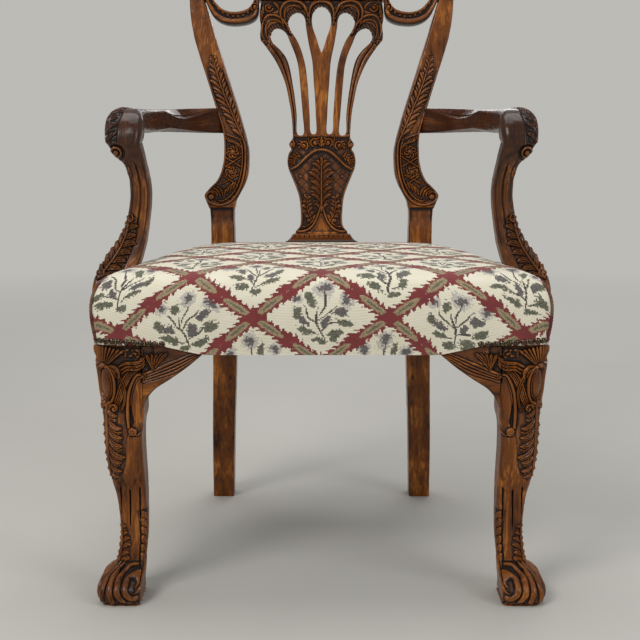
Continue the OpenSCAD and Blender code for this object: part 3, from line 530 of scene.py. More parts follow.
def make_piece(name, points, faces, finish, values=None, fibre=None, sharp=None):
    """A mesh from points in millimetres, with values kept on its points."""
    mesh = bpy.data.meshes.new(name)
    points = np.asarray(points, float).reshape(-1, 3)
    if finish in woods:      # no carving stands outside the frame's own box
        points = np.clip(points, BOX_LOW, BOX_HIGH)
    groups = [np.asarray(f, np.int32) for f in faces if len(f)]
    loops = np.concatenate([g.reshape(-1) for g in groups])
    sizes = np.concatenate([np.full(len(g), g.shape[1], np.int32) for g in groups])
    mesh.vertices.add(len(points))
    mesh.vertices.foreach_set("co", (points / 1000.0).astype(np.float32).reshape(-1))
    mesh.loops.add(len(loops))
    mesh.loops.foreach_set("vertex_index", loops)
    mesh.polygons.add(len(sizes))
    mesh.polygons.foreach_set("loop_start",
                              np.concatenate([[0], np.cumsum(sizes)[:-1]]).astype(np.int32))
    mesh.polygons.foreach_set("loop_total", sizes)
    mesh.update(calc_edges=True)
    mesh.validate()
    mesh.polygons.foreach_set("use_smooth", np.ones(len(mesh.polygons), bool))
    if sharp:
        mesh.set_sharp_from_angle(angle=math.radians(sharp))
    for key, what in (values or {}).items():
        layer = mesh.attributes.new(key, "FLOAT", "POINT")
        layer.data.foreach_set("value", np.asarray(what, np.float32).reshape(-1))
    if fibre is not None:
        layer = mesh.attributes.new("fibre", "FLOAT_VECTOR", "POINT")
        layer.data.foreach_set("vector", (np.asarray(fibre) / 1000.0).astype(
            np.float32).reshape(-1))
    mesh.materials.append(finish)
    piece = bpy.data.objects.new(name, mesh)
    scene.collection.objects.link(piece)
    return piece


def mirrored_piece(piece, name):
    """The right-hand twin of a left-hand piece."""
    mesh = piece.data.copy()
    mesh.name = name
    spots = np.empty(len(mesh.vertices) * 3, np.float32)
    mesh.vertices.foreach_get("co", spots)
    spots[0::3] *= -1
    mesh.vertices.foreach_set("co", spots)
    mesh.flip_normals()
    if "fibre" in mesh.attributes:
        layer = mesh.attributes["fibre"].data
        grain = np.empty(len(mesh.vertices) * 3, np.float32)
        layer.foreach_get("vector", grain)
        grain[0::3] += 0.37
        grain[2::3] += 0.61
        layer.foreach_set("vector", grain)
    mesh.update()
    twin = bpy.data.objects.new(name, mesh)
    scene.collection.objects.link(twin)
    return twin


def stands_for(piece, node):
    """Places a piece and hides the frame node that it stands for."""
    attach(piece, "root")
    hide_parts(node)
    print(piece.name, "has", len(piece.data.polygons), "faces")


def both(piece, left_node):
    """The same for a left piece and its twin."""
    stands_for(piece, left_node)
    twin = mirrored_piece(piece, piece.name.replace("_left", "_right"))
    stands_for(twin, left_node.replace("_left", "_right"))


def grid_faces(rows, columns):
    """Quads over an open grid of rows by columns points."""
    i = np.arange(rows - 1)[:, None] * columns + np.arange(columns - 1)[None, :]
    return np.stack([i, i + 1, i + 1 + columns, i + columns], -1).reshape(-1, 4)


def tube_faces(rows, columns):
    """Quads round a closed tube of rows by columns points."""
    i = np.arange(rows - 1)[:, None] * columns
    j = np.arange(columns)[None, :]
    k = (j + 1) % columns
    return np.stack([i + j, i + k, i + k + columns, i + j + columns], -1).reshape(-1, 4)


def fan_faces(first, columns, centre, flip=False):
    """Triangles from a ring of points, numbered from the first, to its centre."""
    ring = first + np.arange(columns)
    nxt = np.roll(ring, -1)
    mid = np.full(columns, centre)
    return np.stack([nxt, ring, mid] if flip else [ring, nxt, mid], -1)


def closed_tube(rings, ends=None):
    """Points and faces of a tube whose two ends are closed by a fan each."""
    rows, columns = rings.shape[:2]
    ends = [rings[0].mean(0), rings[-1].mean(0)] if ends is None else ends
    return np.vstack([rings.reshape(-1, 3), *ends]), [
        tube_faces(rows, columns), fan_faces(0, columns, rows * columns, flip=True),
        fan_faces((rows - 1) * columns, columns, rows * columns + 1)]


def raised(place, height):
    """Rings of points moved out along their own normals."""
    along = np.roll(place, -1, 1) - np.roll(place, 1, 1)
    normal = np.cross(along, np.gradient(place, axis=0))
    normal /= np.maximum(np.linalg.norm(normal, axis=2, keepdims=True), 1e-9)
    return place + normal * height[..., None]


print("carving tools ready")

# %% [markdown]
# ## Polished walnut
# Old walnut is amber where hands and wax have rubbed it. Shade is painted into the carving: its
# hollows and carved ground are darkened, the deepest nearly to black, and so is the wood under
# the seat. Each carved mesh keeps two values on its points: how deep a point lies, with the
# painted shade added in, and where it is along the grain. The grain is noise pulled out along the
# fibres, with fine dark pores.


# %% Walnut
def walnut_finish(name, dark, mid, amber, rough=0.30, figure=0.5, glow=1.0):
    f = Finish(name)
    grain = f.add("Attribute", {"attribute_name": "fibre"}, out=1)
    depth = f.painted("depth")
    broad = f.noise(f.stretch(grain, (1.0, 1.0, 0.09)), 75.0, 4.0, 0.6, 0.6)
    streak = f.noise(f.stretch(grain, (1.0, 1.0, 0.035)), 420.0, 3.0, 0.65)
    pores = f.noise(f.stretch(grain, (1.0, 1.0, 0.05), (0.3, 0.7, 0.1)), 1500.0, 2.0, 0.5)
    cloud = f.noise(grain, 14.0, 2.0)
    tone = (broad * 0.62 + streak * 0.38 - 0.5) * (1.0 + figure) + 0.5 + (cloud - 0.5) * 0.55
    wood = f.ramp(tone, [(0.22, dark), (0.5, mid), (0.80, amber)])
    wood = f.mix(pores.ramp(0.60, 0.74) * 0.55, wood, tuple(c * 0.35 for c in dark))
    # painted shade: hollows, the carved ground and the wood under the seat are darkened
    painted_shade = depth.ramp(0.515, 0.66)
    wood = f.mix(painted_shade * 0.72, wood, tuple(c * 1.5 for c in dark))
    # painted shade: the deepest hollows go nearly black
    sunk = depth.ramp(0.58, 0.78)
    wood = f.mix(sunk * 0.97, wood, (0.007, 0.003, 0.002))
    proud = (0.47 - depth).ramp(0.0, 0.17)
    wood = f.mix(proud * 0.34 * glow, wood, tuple(0.6 * a + 0.4 * m for a, m in zip(amber, mid)))
    handled = ((depth - 0.5).abs() - 0.015).ramp(0.0, 0.05)
    dust = f.noise(grain, 260.0, 3.0)
    gloss = rough + (dust - 0.5) * 0.16 + sunk * 0.42 + pores.ramp(0.6, 0.74) * 0.12
    relief = streak * 0.35 + pores.ramp(0.55, 0.75) * -0.6 + dust * 0.5
    normal = f.bump(relief, 0.00035, 0.55)
    return f.surface(Base_Color=wood, Roughness=gloss, Normal=normal, Specular_IOR_Level=0.20,
                     Coat_Weight=handled * 0.22 + 0.06, Coat_Roughness=0.18)


walnut = walnut_finish("polished_walnut", (0.034, 0.010, 0.003), (0.156, 0.046, 0.008),
                       (0.48, 0.168, 0.030))
arm_walnut = walnut_finish("dark_walnut", (0.016, 0.006, 0.003), (0.056, 0.017, 0.006),
                           (0.19, 0.062, 0.017), rough=0.24, figure=0.2, glow=0.6)
support_walnut = walnut_finish("support_walnut", (0.022, 0.007, 0.003), (0.108, 0.034, 0.008),
                               (0.36, 0.130, 0.030))
woods = [walnut, arm_walnut, support_walnut]
print("walnut ready")

# %% [markdown]
# ## The front legs
# A cabriole leg swells at the knee, narrows to the ankle and rolls out into a scroll foot. The
# leg is a tube of rings, one about every millimetre. Its outer front corner is rounded, and the
# carving is laid out from that corner, so that both faces of the leg match. The bracket beside
# the knee is carved with the same strokes, so the leaf runs over the joint.

# %% Sizes of the frame
HALF_W, FRONT_Y, KNEE_H, KNEE_W = 330.0, -274.0, 377.0, 78.0
RAIL_Z, RAIL_TOP, RAIL_X, RAIL_Y, POST = 365.0, 432.0, 308.0, -252.0, 54.0
HALF_B, RAKE, BEND = 192.0, math.radians(8.0), 460.0
CREST_Z, CHAIR_H = 884.0, 985.0
STILE_Y = 286.0 - (CHAIR_H - BEND) * math.tan(RAKE) - 26.0 * math.cos(RAKE)
POST_BACK = RAIL_Y + POST
SIDE_TAN = (RAIL_X - (HALF_B - 6.0)) / (STILE_Y - POST_BACK)
LEG_OUTER = [(0, 13), (6, 9), (16, 7), (28, 9), (38, 16), (46, 27), (56, 32), (72, 35), (92, 37),
             (120, 36), (150, 33), (195, 23), (240, 18), (298, 13), (341, 9), (377, 6)]
LEG_INNER = [(0, 70), (14, 69), (40, 71), (60, 72), (90, 75), (150, 76), (195, 75), (232, 74),
             (258, 75), (276, 78), (377, 78)]
TOE_ROLL = [(0, -18), (6, -21), (16, -19), (28, -15), (38, -9), (48, -3), (60, 0), (377, 0)]
KNEE_ROUND = [(0, 17), (10, 19), (30, 19), (42, 14), (60, 10), (150, 10), (200, 15), (240, 24),
              (290, 38), (340, 44), (377, 41)]
print("seat line at y", round(STILE_Y, 1), "mm")


# %% The leg's bare form
def leg_corner(z):
    """Outer x, front y, inner size and the rounding of the outer front corner at height z."""
    outer, inner = curve(LEG_OUTER, z), np.minimum(KNEE_W, curve(LEG_INNER, z))
    front = np.maximum(-12.0, outer + curve(TOE_ROLL, z))
    return -HALF_W + outer, FRONT_Y + front, inner, curve(KNEE_ROUND, z)


def on_leg(x, z):
    """A place on the carved sheet from a place on the front face: x across, z up."""
    x0, _, _, r = leg_corner(np.float64(z))
    cx = x0 + r
    if x < cx:
        turn = math.acos(min(1.0, (cx - x) / r))
        return (r * (turn - math.pi / 4), z)
    return (r * math.pi / 4 + (x - cx), z)


def leg_rings(z, columns):
    """Rings of places round the leg, and how far each is along the sheet."""
    z = z[:, None]
    x0, y0, inner, r1 = leg_corner(z)
    x1, y1 = -HALF_W + inner, FRONT_Y + inner
    r2 = np.interp(z, [0, 60, 200, 262, 278, 377], [9, 9, 9, 8, 2.5, 2.5])
    r3 = np.interp(z, [0, 60, 262, 278, 377], [7, 8, 8, 2.5, 2.5])
    share_a = np.linspace(0, 1, columns[0], endpoint=False)
    share_b = np.linspace(0, 1, columns[1] + 1)
    places, runs = [], []
    for way in (1, -1):
        # straight lengths on this side: to the far corner, then along the next face
        wide, deep = (x1 - x0, y1 - y0) if way > 0 else (y1 - y0, x1 - x0)
        bend = r1 * math.pi / 4
        flat = wide - r1 - r2
        turn = r2 * math.pi / 2
        side = deep - r2 - r3
        last = r3 * math.pi / 4
        total = bend + flat + turn + side + last
        first = bend + flat
        s = np.concatenate([first * share_a, first + (total - first) * share_b], 1)
        a = np.clip(s, 0, bend) / r1 + math.pi / 4
        b = np.clip(s - bend, 0, flat)
        c = np.clip(s - first, 0, turn) / r2
        d = np.clip(s - (first + turn), 0, side)
        e = np.clip(s - (total - last), 0, last) / r3
        p = r1 - r1 * np.cos(a) + b + r2 * np.sin(c) - r3 * (1 - np.cos(e))
        q = r1 - r1 * np.sin(a) + r2 * (1 - np.cos(c)) + d + r3 * np.sin(e)
        places.append(np.stack([x0 + p, y0 + q] if way > 0 else [x0 + q, y0 + p], -1))
        runs.append(s * way)
    xy = np.concatenate([places[0], places[1][:, -2:0:-1]], 1)
    s = np.concatenate([runs[0], runs[1][:, -2:0:-1]], 1)
    return xy, s


# %% The carving of the knee
def knee_carving(c):
    """Strokes shared by a leg and the bracket beside it."""
    k = on_leg
    # sink the ground where the carving lies, so that its tops end level with the plain wood
    ground = (within(c.v, 176, 398, 14, 12)
              * eased((np.interp(c.v, [176, 200, 240, 262, 300, 377], [15, 27, 33, 42, 74, 84])
                       - np.abs(c.u)) / 5))
    panel = np.minimum(within(c.v, 262, 342, 8, 10),
                       eased((np.abs(c.u) - np.interp(c.v, [262, 300, 342], [41, 36, 44])) / 3))
    c.h = c.h - 2.4 * ground * (1 - panel)
    # reeds that run out along the bracket
    for n in range(4):
        c.stroke([k(-250, 326 + 3.4 * n), k(-240, 329.5 + 3.6 * n), k(-207, 340 + 4.8 * n),
                  k(-179, 356.5 + 3.2 * n), k(-169, 361 + 2.6 * n)], swell(2.2, 2.7, 1.2, 0.4),
                 [(0, 2.8), (1, 1.8)], "round", -1.9, 1.2)
    # long strands that sweep down from the hollow, and the ones that cross them
    for n in range(4):
        c.stroke([k(-256 - 4.6 * n, 343 - 0.4 * n), k(-267 - 3.7 * n, 334 - n),
                  k(-276 - 3.0 * n, 319 - n), k(-281.5 - 2.6 * n, 304),
                  k(-287 - 2.0 * n, 290 + 1.4 * n)], [(0, 1.0), (0.35, 2.2), (0.85, 2.0),
                                                      (1, 0.8)], swell(2.6, 4.0, 3.0, 0.4),
                 "ridge", -2.3, 1.2)
    for n in range(2):
        c.stroke([k(-287 + 3.4 * n, 333), k(-281 + 2.6 * n, 321), k(-278 + 1.8 * n, 308),
                  k(-279 + 1.6 * n, 296), k(-284 + 2 * n, 283)], swell(0.9, 1.9, 0.8), 4.2,
                 "ridge", -2.3, 1.1)
    # C-scroll beside the plain panel, its volutes and the ledge below
    line = [k(-250, 331), k(-254, 336), k(-259.5, 335), k(-266.5, 323.5), k(-271.3, 309),
            k(-273.8, 292), k(-274.4, 273), k(-273.6, 258)]
    c.stroke(line, [(0, 1.4), (0.2, 2.3), (0.8, 2.7), (1, 2.2)], 3.5, "round", -1.9, 1.2)
    c.groove([(u + 5.2, v - 1) for u, v in line[2:]], swell(0.3, 1.1, 0.9, 0.2), 1.0)
    c.scroll(k(-250.5, 334), 4.2, 0.9, 60, -1, 1.4, 3.2, 0.45, level=-1.5)
    c.stroke([k(-271, 245.5), k(-262, 246.5), k(-254, 251.5), k(-247.5, 257), k(-243, 261)],
             swell(1.4, 2.1, 0.8, 0.6), 2.8, "ridge", -1.2)
    c.boss(*k(-268, 251.5), 6.4, 6.8, 5.0, level=-1.6, moat=1.4)
    c.groove(spiral(k(-268, 251.5), 4.0, 1.1, 120, 1), 0.9, 1.4, ready=True)
    # pebbled hollow between the shell and the fingers
    dice = np.random.default_rng(12)
    for way in (1, -1) if c.mirrored else (1,):
        off = np.hypot((c.u - way * k(-263, 365)[0]) / 17, (c.v - 366) / 8)
        c.h = c.h - 1.2 * eased((1.15 - off) / 0.3)
    for _ in range(26):
        x, z = dice.uniform(-278, -249), dice.uniform(360, 372)
        c.boss(*k(x, z), dice.uniform(1.5, 2.6), dice.uniform(1.3, 2.0), 1.5, level=-2.9, moat=0.4)
    # the wing-shaped leaf under it
    for n, (dz, wide) in enumerate(((0.0, 3.0), (-5.2, 2.7), (-9.6, 2.1))):
        c.stroke([k(-284 + 2.2 * n, 348 + dz), k(-274 + 1.5 * n, 352.5 + dz * 0.9),
                  k(-261, 353 + dz), k(-252, 356 + dz), k(-247.5, 362 + dz)],
                 [(0, 1.0), (0.5, wide), (0.85, wide * 0.7), (1, 0.6)], 4.4, "leaf", -2.0, 1.1)
    c.boss(*k(-243, 347), 3.2, 4.0, -1.6, moat=1.4, level=-3.4)
    # finger leaf on the wing
    for n in range(5):
        c.stroke([k(-236.5 + 0.8 * n, 341.5 + 1.2 * n), k(-240 + 3.6 * n, 353 + 1.0 * n),
                  k(-245 + 7.2 * n, 364.5 + 0.6 * n)], [(0, 1.0), (0.6, 2.9), (0.9, 2.5),
                                                        (1, 1.2)], swell(2.4, 4.2, 3.4, 0.7),
                 "leaf", -1.7, 1.1)
    # shell above the knot
    for n in range(6, -1, -1):
        c.stroke([(n * 0.9, 346), (n * 2.9, 356), (n * 4.9, 366), (n * 6.1, 377.5 - 1.2 * n)],
                 [(0, 0.9), (0.5, 2.2), (0.9, 3.1), (1, 2.0)], swell(2.8, 4.8, 4.0, 0.7), "ridge",
                 -2.3, 1.3)
    # bell leaf that hangs beside the frame
    c.strokes([
        ([k(-298, 348), k(-291, 347), k(-285.5, 340), k(-284, 330)], swell(1.2, 3.2, 0.6, 0.55),
         4.6, "leaf", -2.0, 1.1),
        ([k(-297, 344), k(-291.5, 340), k(-289, 333)], swell(1.0, 2.3, 0.6), 4.4, "leaf", -2.0,
         1.0),
        # framed cabochon and its knot
        ([(3, 349), (11, 345), (16.5, 336), (18, 321), (15, 304), (8, 293), (1, 289)],
         swell(1.4, 2.3, 1.4, 0.4), 4.6, "round", -2.2, 1.2),
        ([(3, 344.5), (9.8, 339), (13.2, 323), (10.8, 306), (3, 297.5)], 1.0, 3.6, "round", -2.2,
         0.8)])
    c.boss(0, 321, 10.6, 22.0, 4.6, level=-2.6, power=0.5, moat=1.2)
    c.boss(0, 348, 6.0, 4.2, 5.4, level=-2.0, moat=1.1)
    c.boss(6.6, 345.5, 2.6, 2.8, 4.8, level=-2.0)
    c.scroll((4.6, 292.5), 5.0, 1.0, 200, 1, 1.5, 4.4, 0.45, level=-2.2)
    c.scroll((13.5, 285.5), 6.2, 1.1, 170, -1, 1.7, 4.4, 0.35, level=-2.2)
    # the long leaf below, whose lobes curl out to their tips
    c.frond([(0, 290), (0.6, 262), (0.8, 228), (0, 184)], 8, [(0, 25), (0.25, 33), (0.55, 32),
                                                              (0.8, 23), (1, 10)], 25,
            swell(4.0, 5.4, 2.8), 4.9, curl=62, level=-2.5, first=0.02, last=0.93, rib=2.0)


# %% The carving of the foot and ankle
RIDGE_X = -254.5         # the inner corner that the acanthus edge climbs


def foot_carving(c):
    k = on_leg
    # three flutes down the shin
    for x, low, high in ((-290.5, 106, 169), (-277, 104, 164), (-262.5, 114, 166)):
        c.groove([k(x + 0.6, high), k(x, (low + high) / 2), k(x - 0.8, low)],
                 [(0, 0.3), (0.08, 1.9), (0.6, 1.6), (0.92, 1.3), (1, 0.2)], 3.4)
    c.h = c.h - 1.6 * within(c.v, 40, 108, 8, 10) * eased((19 - np.abs(c.u)) / 4)
    c.frond([(0, 47), (0.5, 68), (0, 104)], 6, swell(18, 16, 8), 38, [(0, 4.2), (1, 2.6)], 3.9,
            sides=(-1,), curl=58, level=-1.7, rib=1.8)
    # an acanthus edge up the inner corner, its tips to the left
    ridge = np.interp(c.v, [40, 136], [k(RIDGE_X, 50.0)[0], k(RIDGE_X, 120.0)[0]])
    inner = within(c.v, 40, 136, 8, 10) * eased((15 - np.abs(np.abs(c.u) - ridge)) / 3)
    c.h = c.h - 1.9 * inner
    for n, z in enumerate((123, 111, 98, 85, 72, 60)):
        u = k(RIDGE_X, z)[0]
        c.stroke([(u + 11, z - 24), (u + 6, z - 14), (u, z - 4), (u - 4 - n * 0.5, z + 3)],
                 [(0, 2.0), (0.5, 5.2), (0.86, 6.0), (1, 3.2)], swell(1.6, 3.8, 4.8, 0.6),
                 "acanthus", -2.2, 0.8)
    # the rolled toe: fat bands that come over the top and wind into the eye
    c.h = c.h - 2.6 * within(c.v, 4, 57, 3, 5) * eased((k(-244, 30.0)[0] - np.abs(c.u)) / 4)
    for line, wide in (
            ([(0, 7), (0, 20), (0, 34), (1, 46), (4, 54)], 5.8),
            ([k(-300, 8), k(-304, 20), k(-302.5, 34), k(-295, 46), k(-287, 53)], 5.5),
            ([k(-284, 8), k(-292, 18), k(-293, 31), k(-287, 43), k(-278, 50), k(-266, 52)], 5.4),
            ([k(-262, 14), k(-272, 13), k(-280, 19), k(-281.5, 30), k(-277, 39.5), k(-268.5, 42),
              k(-262.5, 37), k(-262.5, 31), k(-267, 29)], 5.2)):
        c.stroke(line, [(0, wide * 0.8), (0.25, wide), (0.6, wide * 0.85), (1, 1.6)],
                 swell(3.4, 4.4, 3.4), "round", -2.9, 0.6)
    stem = [k(-245, 84), k(-246.5, 64), k(-248.5, 48), k(-252, 35), k(-258, 25), k(-266, 20.5)]
    c.stroke(stem, [(0, 1.8), (0.3, 3.4), (0.75, 4.4), (1, 1.4)], swell(3.0, 4.4, 3.4, 0.4),
             "round", -2.4, 0.9)
    # the pad under the scroll has a wavy rim
    rim = eased((6.5 + 1.0 * np.sin(c.u / 4.0) - c.v) / 1.2)
    c.h = c.h * (1 - rim) + rim * (-3.0 + 1.2 * np.sin(c.u / 2.6))


# %% Build the left front leg
def front_leg():
    z = np.linspace(0.0, KNEE_H, 402)
    xy, s = leg_rings(z, (84, 30))
    columns = xy.shape[1]
    up = np.repeat(z[:, None], columns, 1)
    place = np.concatenate([xy, up[..., None]], 2)
    c = Carving(s, up, mirrored=True)
    foot_carving(c)
    knee_carving(c)
    edge = eased((np.max(s) + 40 - np.abs(s)) / 8)
    c.h = c.h * edge * eased((KNEE_H - up) / 1.2) * eased(up / 2.0)
    c.tooled(5.0, 0.10, 3)
    body = raised(place, c.h)
    body[:, :, 2] = np.clip(body[:, :, 2], 0.0, KNEE_H + 0.6)
    # painted shade: darker in the carving's hollows and under the seat
    depth = recess(c.h, wrap=True) + painted_seat_shade(c.v)
    # the square post above the knee, let into the seat
    post_z = np.array([KNEE_H + 0.6, KNEE_H + 1.2, RAIL_TOP - 0.8, RAIL_TOP])
    inset = np.array([0.0, 0.0, 0.0, 0.8])
    mid = np.array([-RAIL_X + POST / 2, RAIL_Y + POST / 2])
    ring = xy[-1] - mid
    square = ring / np.abs(ring).max(1, keepdims=True)
    posts = [np.concatenate([mid + square * (POST / 2 - i), np.full((columns, 1), h)], 1)
             for h, i in zip(post_z, inset)]
    points, faces = closed_tube(np.concatenate([body, posts]),
                                [body[0].mean(0), [*mid, RAIL_TOP]])
    depths = np.concatenate([depth.reshape(-1), np.full(len(points) - depth.size, 0.5)])
    return make_piece("front_leg_carved_left", points, faces, walnut, {"depth": depths},
                      fibre=points + np.array([11.0, 23.0, 0.0]), sharp=50)


left_leg = front_leg()
both(left_leg, "front_leg_left")

# %% [markdown]
# ## Flat carved pieces
# A bracket, the splat and the crest are sawn from a board and then carved. Each is a grid laid
# over its outline. The grid's rim is drawn onto the outline itself, the front is raised by the
# carving, and the back and the sawn edges close it.


# %% Outlines
def inside(px, py, loops):
    """Which places lie inside an outline; a loop within a loop is a hole."""
    odd = np.zeros(px.shape, bool)
    for loop in loops:
        a, b = loop, np.roll(loop, -1, 0)
        for (x0, y0), (x1, y1) in zip(a, b):
            if y0 == y1:
                continue
            hit = ((y0 > py) != (y1 > py))
            odd ^= hit & (px < (x1 - x0) * (py - y0) / (y1 - y0) + x0)
    return odd


def nearest(px, py, loops):
    """The nearest places on an outline, and which loop each is on."""
    a = np.concatenate(loops)
    b = np.concatenate([np.roll(loop, -1, 0) for loop in loops])
    which = np.concatenate([np.full(len(loop), n) for n, loop in enumerate(loops)])
    d = b - a
    size = np.maximum((d * d).sum(1), 1e-9)
    out = np.empty(px.shape + (2,))
    home = np.empty(px.shape, int)
    for first in range(0, len(px), 6000):
        cut = slice(first, first + 6000)
        x, y = px[cut, None], py[cut, None]
        t = np.clip(((x - a[:, 0]) * d[:, 0] + (y - a[:, 1]) * d[:, 1]) / size, 0, 1)
        qx, qy = a[:, 0] + t * d[:, 0], a[:, 1] + t * d[:, 1]
        k = ((qx - x) ** 2 + (qy - y) ** 2).argmin(1)
        rows = np.arange(len(k))
        out[cut, 0], out[cut, 1] = qx[rows, k], qy[rows, k]
        home[cut] = which[k]
    return out, home


def rim_edges(faces):
    """Edges that only one face uses, in that face's own direction."""
    pairs = np.concatenate([np.stack([f, np.roll(f, -1, 1)], -1).reshape(-1, 2) for f in faces])
    key = np.sort(pairs, 1)
    key = key[:, 0].astype(np.int64) * (pairs.max() + 1) + key[:, 1]
    _, where, count = np.unique(key, return_index=True, return_counts=True)
    return pairs[where[count == 1]]


def board(name, loops, cell, carve, front, back, finish, grain, ease=1.0, painted_shade=None):
    """A carved board. carve gets the sheet, which also knows how far inside the nearest outline
    each point is (gap) and which outline that is (home); front and back turn sheet places and
    heights into places on the chair."""
    low = np.min([loop.min(0) for loop in loops], 0) - cell
    high = np.max([loop.max(0) for loop in loops], 0) + cell
    nx, ny = (np.ceil((high - low) / cell).astype(int) + 1)
    x, y = np.meshgrid(low[0] + cell * np.arange(nx), low[1] + cell * np.arange(ny))
    solid = inside(x.ravel(), y.ravel(), loops)
    close = softened(solid.reshape(x.shape).astype(float), 2).ravel()
    ask = np.nonzero(solid | (close > 0))[0]
    spots = np.stack([x.ravel(), y.ravel()], 1) + 99.0
    home = np.zeros(len(spots), int)
    spots[ask], home[ask] = nearest(x.ravel()[ask], y.ravel()[ask], loops)
    gap = np.hypot(spots[:, 0] - x.ravel(), spots[:, 1] - y.ravel())
    kept = solid | ((gap < 0.36 * cell) & (close > 0))
    quads = grid_faces(ny, nx)
    hits = kept[quads].sum(1)
    whole = quads[hits == 4]
    part = quads[hits == 3]
    thirds = []
    for quad in part:
        miss = int(np.argmin(kept[quad]))
        thirds.append([quad[(miss + 1) % 4], quad[(miss + 2) % 4], quad[(miss + 3) % 4]])
    faces = [whole] + ([np.array(thirds)] if thirds else [])
    rim = rim_edges(faces)
    edge = np.unique(rim)
    flat_x, flat_y = x.ravel().copy(), y.ravel().copy()
    flat_x[edge], flat_y[edge] = spots[edge, 0], spots[edge, 1]
    gap[edge] = 0.0
    gap = np.where(solid, gap, 0.0)
    c = Carving(flat_x.reshape(x.shape), flat_y.reshape(x.shape))
    c.gap, c.home = gap.reshape(x.shape), home.reshape(x.shape)
    carve(c)
    used = np.unique(np.concatenate([f.ravel() for f in faces]))
    mask = np.zeros(nx * ny, bool)
    mask[used] = True
    depth = recess(c.h, kept=mask.reshape(x.shape)).ravel()
    # painted shade, such as under the seat, is added to how deep each point lies
    if painted_shade:
        depth = depth + painted_shade(c.v.ravel())
    drop = ease * (1 - np.sqrt(np.clip(1 - np.clip(1 - gap / ease, 0, 1) ** 2, 0, 1)))
    top = front(flat_x, flat_y, c.h.ravel() - drop)
    under = back(flat_x, flat_y, -0.6 * drop)
    new = np.full(nx * ny, -1)
    new[used] = np.arange(len(used))
    n = len(used)
    points = np.concatenate([top[used], under[used]])
    faces = [new[f] for f in faces]
    rim = new[rim]
    walls = np.stack([rim[:, 1], rim[:, 0], rim[:, 0] + n, rim[:, 1] + n], -1)
    depths = np.concatenate([depth[used], np.full(n, 0.5)])
    return make_piece(name, points, faces + [f[:, ::-1] + n for f in faces] + [walls], finish,
                      {"depth": depths}, fibre=grain(points), sharp=48)


print("boards ready")

# %% [markdown]
# ## The knee brackets
# Each bracket carries the knee's carving out along the rail: a finger leaf, then reeds that run
# to its tip. Its under edge is rounded over. The side bracket is the same piece laid along the
# side rail.

# %% Brackets
BRACKET_EDGE = [(0, 1), (0.03, 0.91), (0.08, 0.81), (0.2, 0.66), (0.46, 0.475), (0.73, 0.27),
                (1, 0.03)]
REACH, DROP, BRACKET_T, STEP = 84.0, 78.0, 24.0, 10.0
BRACKET_FACE = RAIL_Y - STEP
LEG_IN = HALF_W - KNEE_W


def bracket_outline():
    u = np.linspace(0, 1, 40)
    under = np.stack([-LEG_IN + REACH * u, RAIL_Z - DROP * curve(BRACKET_EDGE, u)], 1)
    lip = KNEE_H - RAIL_Z
    over = np.array([[-LEG_IN + REACH, RAIL_Z + 1], [-LEG_IN + REACH * 0.34, RAIL_Z + lip],
                     [-LEG_IN, RAIL_Z + lip]])
    return [np.concatenate([under, over])]


def bracket(name, lay):
    loops = bracket_outline()

    def carve(c):
        across, up = c.u, c.v
        start = np.array([on_leg(-LEG_IN - 0.01, z)[0] for z in up[:, 0]])
        sheet = Carving(np.interp(up, up[:, 0], start) + (across + LEG_IN), up)
        knee_carving(sheet)
        under = RAIL_Z - DROP * curve(BRACKET_EDGE, np.clip((across + LEG_IN) / REACH, 0, 1))
        over = np.clip((up - under) / 9.0, 0, 1)
        roll = 7.0 * (1 - np.sqrt(np.clip(1 - (1 - over) ** 2, 0, 1)))
        seam = eased((across + LEG_IN) / 3.0)
        c.h = sheet.h * eased((up - under) / 6.0) - roll * seam
        c.tooled(5.0, 0.10, 5)

    def front(x, z, h):
        flow = np.interp(x, [-LEG_IN, -LEG_IN + 30], [0.0, 1.0])
        face = leg_corner(z)[1] * (1 - flow) + BRACKET_FACE * flow
        return lay(np.stack([x, face - h, z], -1))

    def back(x, z, h):
        deep = np.where(z > RAIL_Z - 0.3, RAIL_Y - 0.2, BRACKET_FACE + BRACKET_T)
        return lay(np.stack([x, deep + h, z], -1))

    # painted shade darkens the bracket where the seat overhangs it
    return board(name, loops, 0.75, carve, front, back, walnut,
                 lambda p: p[:, [1, 2, 0]] + 40.0, painted_shade=painted_seat_shade)


both(bracket("front_bracket_carved_left", lambda p: p), "front_bracket_left")
side_angle = math.atan(SIDE_TAN)


def side_lay(p):
    """Turns the front bracket about the corner to lie along the side rail."""
    along, proud = p[:, 0] + LEG_IN, p[:, 1] - BRACKET_FACE
    y0 = FRONT_Y + KNEE_W
    x0 = -(RAIL_X - (y0 - POST_BACK) * SIDE_TAN) - STEP / math.cos(side_angle)
    c, s = math.cos(side_angle), math.sin(side_angle)
    return np.stack([x0 + along * s + proud * c, y0 + along * c - proud * s, p[:, 2]], -1)


side_bracket = bracket("side_bracket_carved_left", side_lay)
side_bracket.data.flip_normals()
both(side_bracket, "side_bracket_left")

# %% [markdown]
# ## The needlepoint
# The cover is worked in wool on canvas: a lattice of ragged dark-red bands with leaf shapes in
# their cores, and a small sprig in each diamond, on cream. The pattern is worked out here from
# the cloth's own coordinates, in millimetres as it lay flat. They are snapped to the stitches
# first, so every edge steps as sewn wool does.

# %% The lattice's sizes
DIAMOND_W, DIAMOND_H, FIRST_CROSS = 180.0, 140.0, -240.0
BAND_STEP = 1.0 / math.hypot(1 / DIAMOND_W, 1 / DIAMOND_H)
SIDE_LEN = 0.5 * math.hypot(DIAMOND_W, DIAMOND_H)
CREAM, CREAM_SHADE = (0.91, 0.865, 0.72), (0.83, 0.77, 0.58)
RED, RED_DARK = (0.245, 0.042, 0.044), (0.150, 0.030, 0.034)
TAN, SAGE, SLATE = (0.45, 0.345, 0.215), (0.088, 0.094, 0.064), (0.098, 0.090, 0.092)
PALE = (0.44, 0.41, 0.39)


